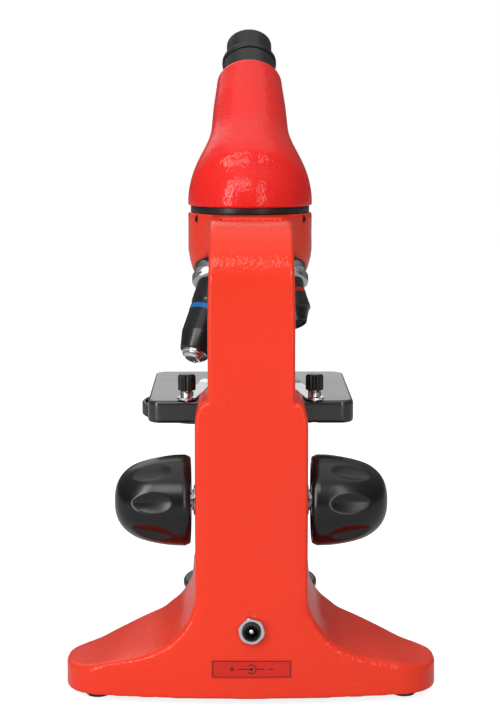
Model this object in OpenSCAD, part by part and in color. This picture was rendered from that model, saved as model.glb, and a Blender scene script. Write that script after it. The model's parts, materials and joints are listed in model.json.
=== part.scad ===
// Student monocular microscope with a cast stand, rack focus, reversed triple nosepiece
// and a 45 degree monocular head. Millimetres, +Z up, the operator sits on the -Y side.

/* [Base] */
// Width of the base across its two rear wings
base_w = 160; // [136:1:194]
// Radius of each wing's rounded end
wing_r = 23; // [21:0.5:26]
// Height of the wings' flat ends above the table
wing_top = 15; // [13:0.5:18]
// Height of the rubber feet under the base
foot_h = 3.4; // [2.4:0.2:5]
// Diameter of each rubber foot
foot_d = 11; // [8:0.5:14]
// Width of the front tongue
tongue_w = 60; // [56:1:72]
// Distance from the optical axis to the front of the tongue
tongue_reach = 55; // [52:1:68]
// Height of the tongue's top above the table
tongue_top = 28; // [27:0.5:34]
// Thickness of the casting's walls
wall = 3; // [2.5:0.25:3.75]
// Thickness of the plate that closes the base
plate_t = 1.5; // [1:0.25:2]

/* [Column and arm] */
// Distance from the optical axis back to the rear face
back_y = 85; // [81:1:103]
// Width of the column
column_w = 47.3; // [44:0.5:57]
// Depth of the column from front to back
column_d = 38; // [37:1:42]
// Width of the upper arm
arm_w = 36.3; // [30:0.5:42]
// Radius of the arm's rounded top corner
arm_corner_r = 25; // [15:1:25]
// Radius of the flare where the column meets the wings
flare_r = 30; // [26:1:34]
// Height of the nose's flat top, on which the head turns
nose_top = 204.3; // [170:1:246]
// Diameter of the nose
nose_d = 56; // [54:0.5:60]

/* [Illuminator and power] */
// Diameter of the illuminator's black rim
rim_d = 61.8; // [56:0.5:70]
// Thickness of the illuminator's rim
rim_t = 3.3; // [2.5:0.25:5]
// Diameter of the collector lens
collector_d = 28; // [22:1:32]
// Height of the power inlet above the table
jack_z = 33.8; // [31:0.5:36]
// Bore of the power inlet
jack_bore = 6; // [5:0.1:6.5]
// Diameter of the power inlet's centre pin
jack_pin_d = 2.1; // [1.6:0.1:2.5]
// Length and width of the rating label
label_size = [33.7, 7.8]; // [1:0.1:60]
// Diameter of the brightness wheel
dimmer_d = 20; // [18:1:22]

/* [Focus] */
// Diameter of the focus knobs
knob_d = 38.9; // [32:0.5:47]
// Length of each focus knob
knob_l = 32.45; // [26:0.5:39]
// Diameter of the focus shaft
shaft_d = 6; // [5:0.25:6.5]
// Outer diameter of the shaft bushings
bushing_d = 9; // [8.5:0.25:10]
// Module of the rack and pinion teeth
tooth_module = 0.8; // [0.7:0.05:0.85]
// Number of teeth on the pinion
pinion_teeth = 14; // [14:1:15]
// How far the stage travels down from its place at rest
focus_down = 20; // [12:1:22]

/* [Stage] */
// Width of the stage
stage_w = 90; // [76:1:110]
// Length of the stage from front to back
stage_l = 90; // [80:1:110]
// Thickness of the stage
stage_t = 10; // [9:0.5:12]
// Diameter of the light hole through the stage
stage_hole_d = 25; // [22:1:28]
// Radius of the diaphragm disc
diaphragm_r = 33.5; // [33:0.5:36]
// Distance from the diaphragm's pivot to its apertures
aperture_ring_r = 26.25; // [25.5:0.25:26.5]
// Distance from the middle of the stage to each clip's post
clip_x = 27.8; // [26.5:0.5:33]
// Diameter of the clips' caps
clip_cap_d = 7.7; // [6:0.1:8]

/* [Nosepiece and objectives] */
// Tilt of the nosepiece's axis towards the arm, in degrees
turret_tilt = 20; // [18:1:20]
// Radius of the nosepiece's turning disc
turret_r = 26; // [25.5:0.5:28]
// Length of the 4x objective below its seat
objective_4x_l = 23; // [20:1:28]
// Length of the 10x objective below its seat
objective_10x_l = 32; // [27:1:38]
// Length of the 40x objective below its seat
objective_40x_l = 40.4; // [36:0.5:46]
// Diameter of the objectives' barrels
barrel_d = 17.2; // [15:0.2:18.4]

/* [Head and eyepiece] */
// Slope of the eyepiece tube above level, in degrees
eye_slope = 45; // [30:5:45]
// Length of the head's tube from the bend to its end
head_tube_l = 60; // [56:1:72]
// Outer diameter of the eyepiece's barrel
eyepiece_d = 23.2; // [20:0.2:23.4]
// Diameter of the eyepiece's skirt
skirt_d = 25.6; // [25:0.2:28]
// Diameter of the eyepiece's top cap
cap_d = 21.3; // [18:0.1:25]

/* [Clearances] */
// Gap round a shaft or a slide that moves
run_gap = 0.05; // [0.02:0.01:0.1]
// Gap between faces that pass each other
face_gap = 0.3; // [0.2:0.05:0.5]
// Gap round pieces that are dropped into a recess
seat_gap = 0.15; // [0.05:0.05:0.3]

/* [Hidden] */
$fn = 72;
eps = 0.02;

// base and column
floor_z = foot_h + plate_t;
wing_x = base_w / 2 - wing_r;
wing_y = back_y - wing_r - 5;
wing_front = wing_y - wing_r;
back_bulge_r = (pow(wing_x, 2) + pow(back_y - wing_y, 2) - pow(wing_r, 2)) / (2 * (back_y - wing_y - wing_r));
column_front = back_y - column_d;
column_half = column_w / 2;
tongue_y = tongue_w / 2 - tongue_reach;
foot_rear = [wing_x + 9, wing_y + 9];
foot_front = [tongue_w / 2 - 13, tongue_y - 13];
screw_rear = [wing_x, wing_y - 8];
screw_front = [0, tongue_y - 20];

// nosepiece: every objective's axis passes through the apex on the optical axis
apex_z = nose_top + 8.4;
seat_s = 45;
mount_near = 33.8;
mount_far = 37.6;
turret_near = mount_far + face_gap;
tip_r = 5.8;
objective_40x_end = seat_s + objective_40x_l;

// arm: its front face clears the longest objective at the back of its turn
arm_front = objective_40x_end * sin(2 * turret_tilt) + tip_r * cos(2 * turret_tilt) + 3.5;
bridge_z = nose_top - 14.3;

// stage
work_gap = 2.5;
stage_top = apex_z - objective_40x_end - work_gap;
stage_bottom = stage_top - stage_t;
stage_back = column_front - 2;
stage_front = stage_back - stage_l;
column_top = stage_top + 7.2;
shoulder_h = 13;

// rack, pinion and slide, counted back from the column's front face
pitch_r = tooth_module * pinion_teeth / 2;
addendum = 0.8 * tooth_module;
dedendum = 1.25 * tooth_module;
backlash = 0.15;
slide_front = column_front + 2;
slide_back = column_front + 10;
rack_pitch_y = slide_back + 2.4;
knob_y = rack_pitch_y + pitch_r;
knob_z = stage_bottom - focus_down - knob_d / 2 + 9.95;
knob_in = column_half + 2;
pinion_w = 9;
slide_bottom = knob_z - 9;
slide_half_front = 9;
slide_half_back = 12;
channel_half = 13;
channel_bottom = slide_bottom - focus_down - 3;
bracket_bottom = stage_bottom - 10.8;

// illuminator
rim_bottom = tongue_top + 3.2;

// diaphragm, turning under the stage
disc_angle = -49.6;
disc_xy = [aperture_ring_r * cos(disc_angle), aperture_ring_r * sin(disc_angle)];
disc_top = stage_bottom - face_gap;
apertures = [10, 8.5, 6.5, 4.5, 2.5];

// clips
clip_y = stage_back - 2.5;
clip_turn = 10;
post_d = 3.2;
clip_h = 11.5;
blade_t = 0.8;

// head
prism_z = nose_top + 16.9;
ring_t = 3;
head_bottom = nose_top + ring_t;
socket_r = 20.6;
socket_depth = 6.3;
tube_r = skirt_d / 2 - 0.5;
tube_end = head_tube_l + 9.8;
skirt_bottom = tube_end + 0.1;
cap_bottom = skirt_bottom + 7.1;
cap_skirt = skirt_bottom + 3.2;
cap_wall = 1.4;
eye_top = skirt_bottom + 14.7;
cap_chamfer = 1;

// the frame's origin is under the middle of the outline seen from above
jack_out = 4.5;
front_most = -((eye_top - cap_chamfer) * cos(eye_slope) + cap_d / 2 * sin(eye_slope));
shift_y = -(back_y + jack_out + front_most) / 2;

// ---------- places ----------

module in_frame() { translate([0, shift_y, 0]) children(); }
module on_turret() { translate([0, 0, apex_z]) rotate([turret_tilt, 0, 0]) children(); }
module on_objective(turn) { on_turret() rotate([0, 0, turn]) rotate([-turret_tilt, 0, 0]) children(); }
module on_eyepiece() { translate([0, 0, prism_z]) rotate([90 - eye_slope, 0, 0]) children(); }
module on_shaft() { translate([0, knob_y, knob_z]) rotate([0, 90, 0]) children(); }
module mirrored_x() { for (side = [0, 1]) mirror([side, 0, 0]) children(); }
// a side view, y to the right and z up, made w wide about the middle plane
module side_slab(w) { rotate([90, 0, 90]) linear_extrude(w, center = true) children(); }
// a view from the front, made solid from y0 back to y1
module front_slab(y0, y1) { translate([0, y1, 0]) rotate([90, 0, 0]) linear_extrude(y1 - y0) children(); }
// a ring or a disc between two distances below an apex
module below(near, far, r) { translate([0, 0, -far]) cylinder(r = r, h = far - near); }
function down(points) = [for (p = points) [p[0], -p[1]]];
function arc(c, r, a0, a1, n = 8) = [for (i = [0:n]) let (a = a0 + (a1 - a0) * i / n) c + r * [cos(a),
    sin(a)]];

// ---------- stand ----------

module wing_plan(inset = 0) {
    mirrored_x() translate([wing_x, wing_y]) circle(wing_r - inset);
    intersection() {
        translate([0, back_y - back_bulge_r]) circle(back_bulge_r - inset, $fn = 360);
        translate([-wing_x, wing_front + inset]) square([2 * wing_x, back_y - wing_front]);
    }
}

module tongue_plan(inset = 0) {
    translate([0, tongue_y]) circle(tongue_w / 2 - inset);
    translate([-tongue_w / 2 + inset, tongue_y]) square([tongue_w - 2 * inset, wing_y - tongue_y]);
}

// the wings seen from behind: flat ends, a slope, and a flare up the column's side
module wing_profile(inset = 0) {
    slope_angle = 23.8;
    c = [column_half + flare_r, wing_top + 12.6 + flare_r * cos(slope_angle)];
    half = concat([[base_w / 2, 0], [base_w / 2, wing_top - inset], [base_w / 2 - 10, wing_top - inset]],
        arc(c, flare_r + inset, 270 - slope_angle, 180), [[column_half - inset, c[1] + 4]]);
    polygon(concat(half, [for (i = [len(half) - 1:-1:0]) [-half[i][0], half[i][1]]]));
}

module column_profile() {
    side = [for (a = [0:15:90]) [arm_w / 2 + (column_half - arm_w / 2) * cos(a),
        column_top - shoulder_h + shoulder_h * sin(a)]];
    polygon(concat([[column_half, foot_h]], side, [for (i = [len(side) - 1:-1:0]) [-side[i][0], side[i][1]]],
        [[-column_half, foot_h]]));
}

module arm_profile() {
    polygon(concat([[back_y, column_top - shoulder_h - 5]],
        arc([back_y - arm_corner_r, nose_top - arm_corner_r], arm_corner_r, 0, 90),
        [[0, nose_top], [0, bridge_z], [arm_front - 21, bridge_z], [arm_front - 7, bridge_z - 14],
        [arm_front, bridge_z - 30], [arm_front, column_top - shoulder_h - 5]]));
}

module arm_width() {
    w = arm_w / 2;
    taper = 0.9;
    polygon([[-w, 0], [w, 0], [w, nose_top - 40], [w - taper, nose_top], [taper - w, nose_top], [-w, nose_top - 40]]);
}

module nose() {
    cone_top = nose_top - 18.8;
    cone_bottom = nose_top - 38.3;
    difference() {
        union() {
            translate([0, 0, cone_top]) cylinder(d = nose_d, h = nose_top - cone_top);
            translate([0, 0, cone_bottom]) cylinder(d1 = nose_d - 10.8, d2 = nose_d,
                h = cone_top - cone_bottom);
        }
        on_turret() below(mount_near, mount_near + 40, 60);
    }
}

module base_cavity() {
    translate([0, 0, foot_h - eps]) intersection() {
        linear_extrude(column_top) wing_plan(wall);
        translate([0, 0, -foot_h]) difference() {
            front_slab(0, back_y) wing_profile(wall);
            translate([0, back_y / 2, jack_z + 10 + back_y]) cube(2 * back_y, center = true);
        }
    }
    translate([0, 0, foot_h - eps]) linear_extrude(tongue_top - wall - foot_h) tongue_plan(wall);
}

// the cover's screws: one in each wing and one at the front of the tongue
module at_cover_screws() {
    mirrored_x() translate([screw_rear[0], screw_rear[1], 0]) children();
    translate([screw_front[0], screw_front[1], 0]) children();
}

// posts inside the base that the cover's screws go into
module screw_posts(r, h) { at_cover_screws() translate([0, 0, floor_z]) cylinder(r = r, h = h); }

// the slot in the column's front that the stage slide runs in, with a pocket for the pinion
module slide_channel() {
    translate([-channel_half, column_front - 1, channel_bottom])
        cube([2 * channel_half, slide_back - column_front + 4.4, column_top]);
    translate([-pinion_w / 2 - 1, column_front, knob_z - pitch_r - 3])
        cube([pinion_w + 2, knob_y + pitch_r + 2 - column_front, 2 * pitch_r + 6]);
}

module stand_casting() {
    color("firebrick") difference() {
        union() {
            intersection() {
                translate([0, 0, foot_h]) linear_extrude(column_top) wing_plan();
                front_slab(0, back_y + 1) wing_profile();
            }
            translate([0, 0, foot_h]) linear_extrude(tongue_top - foot_h) tongue_plan();
            front_slab(column_front, back_y) column_profile();
            intersection() {
                side_slab(arm_w) arm_profile();
                front_slab(-1, back_y + 1) arm_width();
            }
            nose();
        }
        difference() {
            base_cavity();
            screw_posts(3.5, tongue_top);
        }
        screw_posts(1.4, 6);
        slide_channel();
        on_shaft() translate([0, 0, -column_w]) cylinder(d = bushing_d, h = 2 * column_w);
        on_turret() below(mount_near, mount_near + 30, turret_r + 2);
        translate([0, 0, bridge_z - 30]) cylinder(r = 12, h = 60);
        translate([0, 0, nose_top - socket_depth]) cylinder(r = socket_r, h = 20);
        for (a = [30, 150, 270]) rotate([0, 90, a]) translate([-nose_top + 2.4, 0, 15])
            cylinder(d = 3, h = 20);
        // light hole, power inlet hole and the slot of the brightness wheel
        translate([0, 0, tongue_top - wall - 1]) cylinder(d = collector_d + 2, h = 20);
        translate([0, back_y - wall - 1, jack_z]) rotate([-90, 0, 0]) cylinder(d = 8.2, h = 20);
        translate([dimmer_x, dimmer_y, dimmer_z]) cylinder(d = dimmer_d + 1, h = 5 + 2 * face_gap);
    }
}

module base_plate() {
    color("dimgray") difference() {
        translate([0, 0, foot_h]) union() {
            linear_extrude(plate_t) wing_plan(wall + seat_gap);
            linear_extrude(plate_t) tongue_plan(wall + seat_gap);
        }
        translate([-door_half, door_front, 0]) cube([2 * door_half, door_back - door_front, 20]);
        at_cover_screws() cylinder(d = 3, h = 20);
    }
}

module screw(at, r, head_r, head_h, length) {
    translate(at) {
        translate([0, 0, -head_h]) cylinder(r = head_r, h = head_h);
        cylinder(r = r, h = length);
        children();
    }
}

module base_screws() {
    color("silver") {
        at_cover_screws() cross_screw([0, 0, foot_h], 1.4, 6.5);
        cross_screw([0, door_back - 2.6, foot_h], 1.4, 9);
    }
}

// a pan-head screw pointing up, with a cross slot in its head
module cross_screw(at, r, length) {
    difference() {
        screw(at, r, 2 * r, 1.2, length);
        translate(at) for (a = [0, 90]) rotate([0, 0, a]) translate([0, 0, -1.2])
            cube([2.8 * r, 0.7, 1.2], center = true);
    }
}

module rubber_feet() {
    color("black") for (p = [foot_rear, foot_front]) mirrored_x() translate([p[0], p[1], 0]) rotate_extrude()
        polygon([[0, 0], [foot_d / 2 - 0.8, 0], [foot_d / 2, 0.8], [foot_d / 2, foot_h], [0, foot_h]]);
}

// ---------- power and light ----------

cell_d = 14.5;
cell_l = 50.5;
box_half = 1.5 * cell_d + 0.25;
box_front = -37;
box_back = box_front + cell_l + 0.7;
box_h = cell_d + 0.2;
door_half = box_half;
door_front = box_front;
door_back = box_back + 4.8;

module battery_box() {
    t = 1.2;
    color("dimgray") difference() {
        translate([-box_half - t, box_front - t, floor_z])
            cube([2 * (box_half + t), door_back - box_front + 2 * t, box_h + t]);
        translate([-box_half, box_front, floor_z - 1]) cube([2 * box_half, box_back - box_front, box_h + 1]);
        translate([0, door_back - 2.6, 0]) cylinder(r = 1.4, h = foot_h + 9.2);
    }
}

module batteries() {
    color("goldenrod") for (i = [-1:1]) translate([i * cell_d, box_front + 0.2, floor_z + cell_d / 2])
        rotate([-90, 0, 0]) {
            cylinder(d = cell_d - 0.1, h = cell_l - 1.5);
            cylinder(d = 5, h = cell_l);
        }
}

module battery_door() {
    color("dimgray") difference() {
        translate([-door_half + seat_gap, door_front + seat_gap, foot_h])
            cube([2 * (door_half - seat_gap), door_back - door_front - 2 * seat_gap, plate_t]);
        translate([0, door_back - 2.6, 0]) cylinder(r = 1.5, h = 20);
        for (i = [-2:2]) translate([0, door_front + 10 + 2 * i, foot_h]) cube([20, 0.8, 1], center = true);
    }
}

// the inlet lies along y: this stands a lathe shape up against the rear face
module on_jack() { translate([0, back_y, jack_z]) rotate([-90, 0, 0]) children(); }

module dc_jack() {
    color("black") on_jack() difference() {
        union() {
            translate([0, 0, -wall - 1]) cylinder(d = 8, h = wall + 1 + jack_out);
            translate([-5.5, -5.5, -wall - 11]) cube([11, 11, 11 - seat_gap]);
        }
        translate([0, 0, -wall - 7]) cylinder(d = jack_bore, h = 30);
        translate([0, 0, -wall - 9]) cylinder(d = jack_pin_d, h = 30);
    }
}

module dc_jack_nut() {
    color("silver") on_jack() rotate([0, 0, 15]) difference() {
        cylinder(d = 12.1, h = 2.6, $fn = 6);
        translate([0, 0, -1]) cylinder(d = 8.1, h = 10);
    }
}

module dc_jack_pin() {
    color("silver") on_jack() translate([0, 0, -wall - 9]) cylinder(d = jack_pin_d,
        h = wall + 9 + jack_out - 1.2);
}

module rating_label() {
    color("black") translate([-label_size[0] / 2, back_y, foot_h + 13.4 - label_size[1] / 2])
        cube([label_size[0], 0.25, label_size[1]]);
}

module led_board() {
    color("seagreen") translate([0, 0, floor_z + box_h + 2]) difference() {
        linear_extrude(1.6) intersection() {
            square([40, 30], center = true);
            circle(22);
        }
        for (x = [-15, 15]) translate([x, 0, -1]) cylinder(d = 3, h = 5);
    }
}

module led() {
    color("lightyellow") translate([0, 0, floor_z + box_h + 3.6]) {
        translate([-2.5, -2.5, 0]) cube([5, 5, 0.8]);
        intersection() {
            translate([0, 0, -0.8]) sphere(2.6);
            cylinder(r = 3, h = 3);
        }
    }
}

module illuminator_housing() {
    color("dimgray") translate([0, 0, tongue_top]) rotate_extrude()
        polygon([[collector_d / 2, 0], [rim_d / 2 - 4, 0], [rim_d / 2 - 4, rim_bottom - tongue_top],
            [collector_d / 2, rim_bottom - tongue_top]]);
}

module illuminator_rim() {
    color("black") translate([0, 0, rim_bottom]) rotate_extrude()
        polygon([[collector_d / 2, 0], [rim_d / 2, 0], [rim_d / 2, rim_t - 0.8], [rim_d / 2 - 0.8, rim_t],
            [collector_d / 2 + 5, rim_t], [collector_d / 2, rim_t - 1.5]]);
}

module collector_lens() {
    crown = 3.2;
    r = collector_d / 2 - 0.05;
    sphere_r = (r * r + crown * crown) / (2 * crown);
    color("lightcyan", 0.6) translate([0, 0, rim_bottom - 2]) {
        cylinder(r = r, h = 2.5);
        translate([0, 0, 2.5]) intersection() {
            translate([0, 0, crown - sphere_r]) sphere(sphere_r);
            cylinder(r = r, h = crown + 1);
        }
    }
}

dimmer_x = -46;
dimmer_y = wing_front + 8;
dimmer_z = 11;

module dimmer_control() {
    color("dimgray") translate([dimmer_x, dimmer_y, floor_z]) {
        translate([-6, -4, 0]) cube([12, 14, dimmer_z - floor_z - 1]);
        cylinder(d = 4, h = dimmer_z - floor_z + 5);
    }
}

// a thumb wheel that stands out through the front of the left wing
module dimmer_wheel() {
    color("black") translate([dimmer_x, dimmer_y, dimmer_z + face_gap]) difference() {
        cylinder(d = dimmer_d, h = 5);
        translate([0, 0, -1]) cylinder(r = 2 + run_gap, h = 10);
        for (a = [0:20:340]) rotate([0, 0, a]) translate([dimmer_d / 2 + 0.5, 0, -1]) cylinder(d = 2,
            h = 10, $fn = 24);
    }
}

// ---------- focus ----------

module slide_guides() {
    inner_front = slide_half_front + run_gap;
    inner_back = slide_half_back + run_gap;
    color("darkgoldenrod") translate([0, 0, channel_bottom])
        linear_extrude(column_top - shoulder_h - channel_bottom)
        mirrored_x() polygon([[inner_front, slide_front], [inner_back, slide_back],
            [channel_half, slide_back], [channel_half, slide_front]]);
}

module shaft_bushings() {
    color("silver") on_shaft() mirrored_z() translate([0, 0, pinion_w / 2 + 6]) difference() {
        cylinder(d = bushing_d, h = knob_in - 0.5 - pinion_w / 2 - 6);
        translate([0, 0, -1]) cylinder(r = shaft_d / 2 + run_gap, h = 60);
    }
}

module mirrored_z() { for (side = [0, 1]) mirror([0, 0, side]) children(); }

module focus_shaft() {
    half = knob_in + knob_l - 6;
    color("silver") on_shaft() translate([0, 0, -half]) cylinder(d = shaft_d, h = 2 * half);
}

// involute tooth flank: a point unrolled from the base circle to radius r, at angle "thick" on the
// pitch circle
function roll(base, r) = sqrt(max(0, pow(r / base, 2) - 1)) * 180 / PI - acos(min(1, base / r));
function gear(pitch, teeth, add, ded, slack) = let (
    base = pitch * cos(20),
    half = 90 / teeth - slack / pitch * 90 / PI + roll(base, pitch),
    low = pitch - ded, high = pitch + add,
    radii = [for (i = [0:6]) base + (high - base) * i / 6],
    one = concat([[low, -half]], [for (r = radii) [r, -half + roll(base, r)]],
        [for (i = [6:-1:0]) [radii[i], half - roll(base, radii[i])]], [[low, half]]))
    [for (k = [0:teeth - 1]) for (p = one) let (a = p[1] + (k + 0.5) * 360 / teeth - 90) p[0]
        * [cos(a), sin(a)]];

module focus_pinion() {
    color("silver") on_shaft() translate([0, 0, -pinion_w / 2]) difference() {
        linear_extrude(pinion_w) polygon(gear(pitch_r, pinion_teeth, addendum, dedendum, backlash));
        translate([0, 0, -1]) cylinder(d = shaft_d, h = 20);
    }
}

// the rack's teeth face backwards, and one of them stands level with the pinion
module focus_rack() {
    pitch = PI * tooth_module;
    teeth_down = floor(6 / pitch);
    teeth_up = ceil((focus_down + 6) / pitch);
    half = pitch / 4 - backlash / 2;
    lean = tan(20);
    profile = concat([[slide_back, -(teeth_down + 0.5) * pitch], [rack_pitch_y - dedendum,
        -(teeth_down + 0.5) * pitch]],
        [for (i = [-teeth_down:teeth_up]) for (p = [[-dedendum, -half - dedendum * lean], [addendum,
            -half + addendum * lean],
            [addendum, half - addendum * lean], [-dedendum, half + dedendum * lean]])
            [rack_pitch_y + p[0], i * pitch + p[1]]],
        [[rack_pitch_y - dedendum, (teeth_up + 0.5) * pitch], [slide_back, (teeth_up + 0.5) * pitch]]);
    color("darkgoldenrod") translate([0, 0, knob_z]) side_slab(pinion_w - 1) polygon(profile);
}

// the knob's side view: a rounded barrel whose end closes in a soft dome
module knob() {
    r = knob_d / 2;
    power = 2.6;
    outline = [for (t = [0:6:90]) [r * pow(cos(t), 2 / power), knob_l * pow(sin(t), 2 / power)]];
    difference() {
        rotate_extrude() polygon(concat([[shaft_d / 2, 0], [7, 0], [7, 1.5], [r - 3, 1.5], [r - 2, 0]],
            outline,
            [[0, knob_l - 4], [shaft_d / 2, knob_l - 4]]));
        translate([0, 0, -1]) cylinder(d = shaft_d, h = knob_l - 5);
        // shallow oval hollows for the fingers
        for (a = [0:45:315]) rotate([0, 0, a]) translate([r + 26, 0, knob_l * 0.42]) rotate([90, 0, 0])
            rotate_extrude() translate([19.4, 0]) circle(7.8, $fn = 48);
    }
}

module focus_knob_left() { color("dimgray") on_shaft() mirror([0, 0, 1]) translate([0, 0, knob_in]) knob(); }
module focus_knob_right() { color("dimgray") on_shaft() translate([0, 0, knob_in]) knob(); }

// ---------- stage ----------

module stage_slide() {
    color("silver") {
        difference() {
            union() {
                translate([0, 0, slide_bottom]) linear_extrude(stage_bottom - slide_bottom)
                    polygon([[-slide_half_front, slide_front], [slide_half_front, slide_front],
                        [slide_half_back, slide_back], [-slide_half_back, slide_back]]);
                translate([-slide_half_front, stage_back - 26, bracket_bottom])
                    cube([2 * slide_half_front, slide_front + 1 - stage_back + 26,
                        stage_bottom - bracket_bottom]);
                translate([-20, stage_back - 26, stage_bottom - 5]) cube([40, 24, 5]);
            }
            for (p = stage_screw_at) translate([p[0], p[1], stage_bottom - 7]) cylinder(d = 3, h = 20);
        }
    }
}

stage_screw_at = [[-12, stage_back - 8], [12, stage_back - 8], [-12, stage_back - 20], [12, stage_back - 20]];

module rounded_rect(x0, y0, x1, y1, r) {
    for (x = [x0 + r, x1 - r]) for (y = [y0 + r, y1 - r]) translate([x, y]) circle(r);
    translate([x0 + r, y0]) square([x1 - x0 - 2 * r, y1 - y0]);
    translate([x0, y0 + r]) square([x1 - x0, y1 - y0 - 2 * r]);
}

module stage_plate() {
    color("gray") difference() {
        translate([0, 0, stage_bottom]) linear_extrude(stage_t)
            rounded_rect(-stage_w / 2, stage_front, stage_w / 2, stage_back, 6);
        translate([0, 0, stage_bottom - 1]) cylinder(d = stage_hole_d, h = stage_t + 2);
        mirrored_x() translate([clip_x, clip_y, stage_top - 8]) cylinder(r = post_d / 2 + run_gap, h = 20);
        translate([disc_xy[0], disc_xy[1], stage_bottom - 1]) cylinder(d = 4, h = 6);
        for (p = stage_screw_at) translate([p[0], p[1], stage_bottom - 1]) {
            cylinder(d = 3, h = 30);
            translate([0, 0, stage_t - 0.8]) cylinder(d = 6, h = 10);
        }
    }
}

module stage_screws() {
    color("silver") for (p = stage_screw_at) difference() {
        union() {
            translate([p[0], p[1], stage_bottom - 6.5]) cylinder(d = 2.9, h = stage_t + 6);
            translate([p[0], p[1], stage_top - 1.8]) cylinder(d = 5.8, h = 1.6);
        }
        translate([p[0], p[1], stage_top - 0.2]) for (a = [0, 90]) rotate([0, 0, a])
            cube([3.6, 0.7, 1.6], center = true);
    }
}

module condenser_mount() {
    r = stage_hole_d / 2;
    color("black") translate([0, 0, stage_bottom]) rotate_extrude()
        polygon([[r - 3, 0], [r, 0], [r, stage_t - 0.4], [r - 1.6, stage_t - 0.4], [r - 1.6, stage_t - 3.2],
            [r - 3, stage_t - 3.2]]);
}

module condenser_lens() {
    r = stage_hole_d / 2 - 3.05;
    crown = 2.4;
    sphere_r = (r * r + crown * crown) / (2 * crown);
    color("lightcyan", 0.6) translate([0, 0, stage_top - 7.4]) {
        cylinder(r = r, h = 3.4);
        translate([0, 0, 3.4]) intersection() {
            translate([0, 0, crown - sphere_r]) sphere(sphere_r);
            cylinder(r = r, h = crown + 1);
        }
    }
}

module diaphragm_pivot() {
    color("silver") translate([disc_xy[0], disc_xy[1], 0]) difference() {
        union() {
            translate([0, 0, disc_top - 6]) cylinder(d = 8, h = 1.6);
            translate([0, 0, disc_top - 4.4]) cylinder(d = 4, h = 4.4 + face_gap + 5);
        }
        translate([0, 0, disc_top - 6]) cube([10, 1, 1.4], center = true);
    }
}

module diaphragm_disc() {
    step = 360 / len(apertures);
    color("black") translate([disc_xy[0], disc_xy[1], disc_top]) difference() {
        rotate_extrude() polygon([[2 + run_gap, -0.2], [5, -0.2], [5, -2], [diaphragm_r - 1.5, -2],
            [diaphragm_r - 1.5, 0], [diaphragm_r - 0.4, 0], [diaphragm_r, -0.4], [diaphragm_r, -5.4],
                [diaphragm_r - 0.4, -5.8],
            [diaphragm_r - 1.5, -5.8], [diaphragm_r - 1.5, -4], [2 + run_gap, -4]]);
        for (i = [0:len(apertures) - 1]) rotate([0, 0, disc_angle + 180 + i * step])
            translate([aperture_ring_r, 0, -10]) cylinder(d = apertures[i], h = 20);
        for (a = [0:6:354]) rotate([0, 0, a]) translate([diaphragm_r + 0.35, 0, -7])
            cylinder(d = 1.4, h = 9, $fn = 8);
    }
}

module clip_post() {
    color("silver") translate([clip_x, clip_y, stage_top - 7.8]) cylinder(d = post_d, h = 7.8 + clip_h - 1.5);
}

module clip_cap() {
    color("black") translate([clip_x, clip_y, stage_top + clip_h - 7]) difference() {
        rotate_extrude() polygon([[0, 0], [clip_cap_d / 2, 0], [clip_cap_d / 2, 6.2],
            [clip_cap_d / 2 - 0.8, 7], [0, 7]]);
        translate([0, 0, -1]) cylinder(d = post_d, h = 6.5);
        for (a = [0:20:340]) rotate([0, 0, a]) translate([clip_cap_d / 2 + 0.3, 0, -1])
            cylinder(d = 1.1, h = 10, $fn = 8);
    }
}

// the blade springs down from the cap to the stage and reaches forward over the slide
module clip_blade() {
    lift = face_gap;
    blade_l = 44;
    color("silver") translate([clip_x, clip_y, stage_top]) rotate([0, 0, -clip_turn]) difference() {
        union() {
            translate([0, 0, lift]) linear_extrude(blade_t) {
                circle(4.4);
                polygon([[-4, 0], [4, 0], [2.8, -blade_l], [-2.8, -blade_l]]);
                translate([0, -blade_l]) circle(2.8);
            }
            translate([0, 0, lift + blade_t]) cylinder(r = 2.6, h = clip_h - 7 - lift - blade_t);
        }
        translate([0, 0, -1]) cylinder(d = post_d, h = 20);
    }
}

// ---------- nosepiece ----------

module nosepiece_mount() {
    color("black") difference() {
        on_turret() below(mount_near, mount_far, turret_r - 1);
        on_turret() below(mount_near - 1, mount_far + 1, 3);
        translate([0, 0, bridge_z - 40]) cylinder(r = 8, h = 60);
    }
}

module nosepiece_pivot() {
    color("silver") on_turret() difference() {
        union() {
            below(mount_near, turret_near + 9.2, 3);
            below(turret_near + 9.2, turret_near + 11, 4.4);
        }
        translate([0, 0, -turret_near - 11]) cube([10, 1.2, 1.6], center = true);
    }
}

// a leaf fixed on the mount's rear edge, whose nose clicks into the turret's notches
module click_spring() {
    r = turret_r + face_gap;
    color("silver") on_turret() {
        translate([-3.5, turret_r - 1, -mount_far]) cube([7, 0.8 + face_gap + 1, 2.4]);
        translate([-3.5, r, -mount_far - 6]) cube([7, 0.8, 6 + 2.4]);
    }
}

module turret() {
    color("silver") on_turret() difference() {
        union() {
            rotate_extrude() polygon(down([[0, turret_near], [turret_r - 0.8, turret_near], [turret_r,
                turret_near + 0.8],
                [turret_r, turret_near + 4], [turret_r - 1.2, turret_near + 5.4], [0, turret_near + 8.4]]));
            intersection() {
                for (turn = [0:120:240]) rotate([0, 0, turn]) rotate([-turret_tilt, 0, 0])
                    below(seat_s - 8, seat_s, 11.2);
                below(turret_near, turret_near + 12, turret_r);
            }
        }
        for (turn = [0:120:240]) rotate([0, 0, turn]) {
            rotate([-turret_tilt, 0, 0]) below(seat_s - 20, seat_s + 5, 9.9);
            rotate([-turret_tilt, 0, 0]) below(seat_s, seat_s + 8, 11.2);
            translate([0, turret_r + 0.8, -turret_near - 5]) cylinder(r = 1.4, h = 6, $fn = 24);
        }
        below(turret_near - 1, turret_near + 20, 3 + run_gap);
        below(turret_near + 8.8, turret_near + 20, 5);
    }
}

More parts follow.
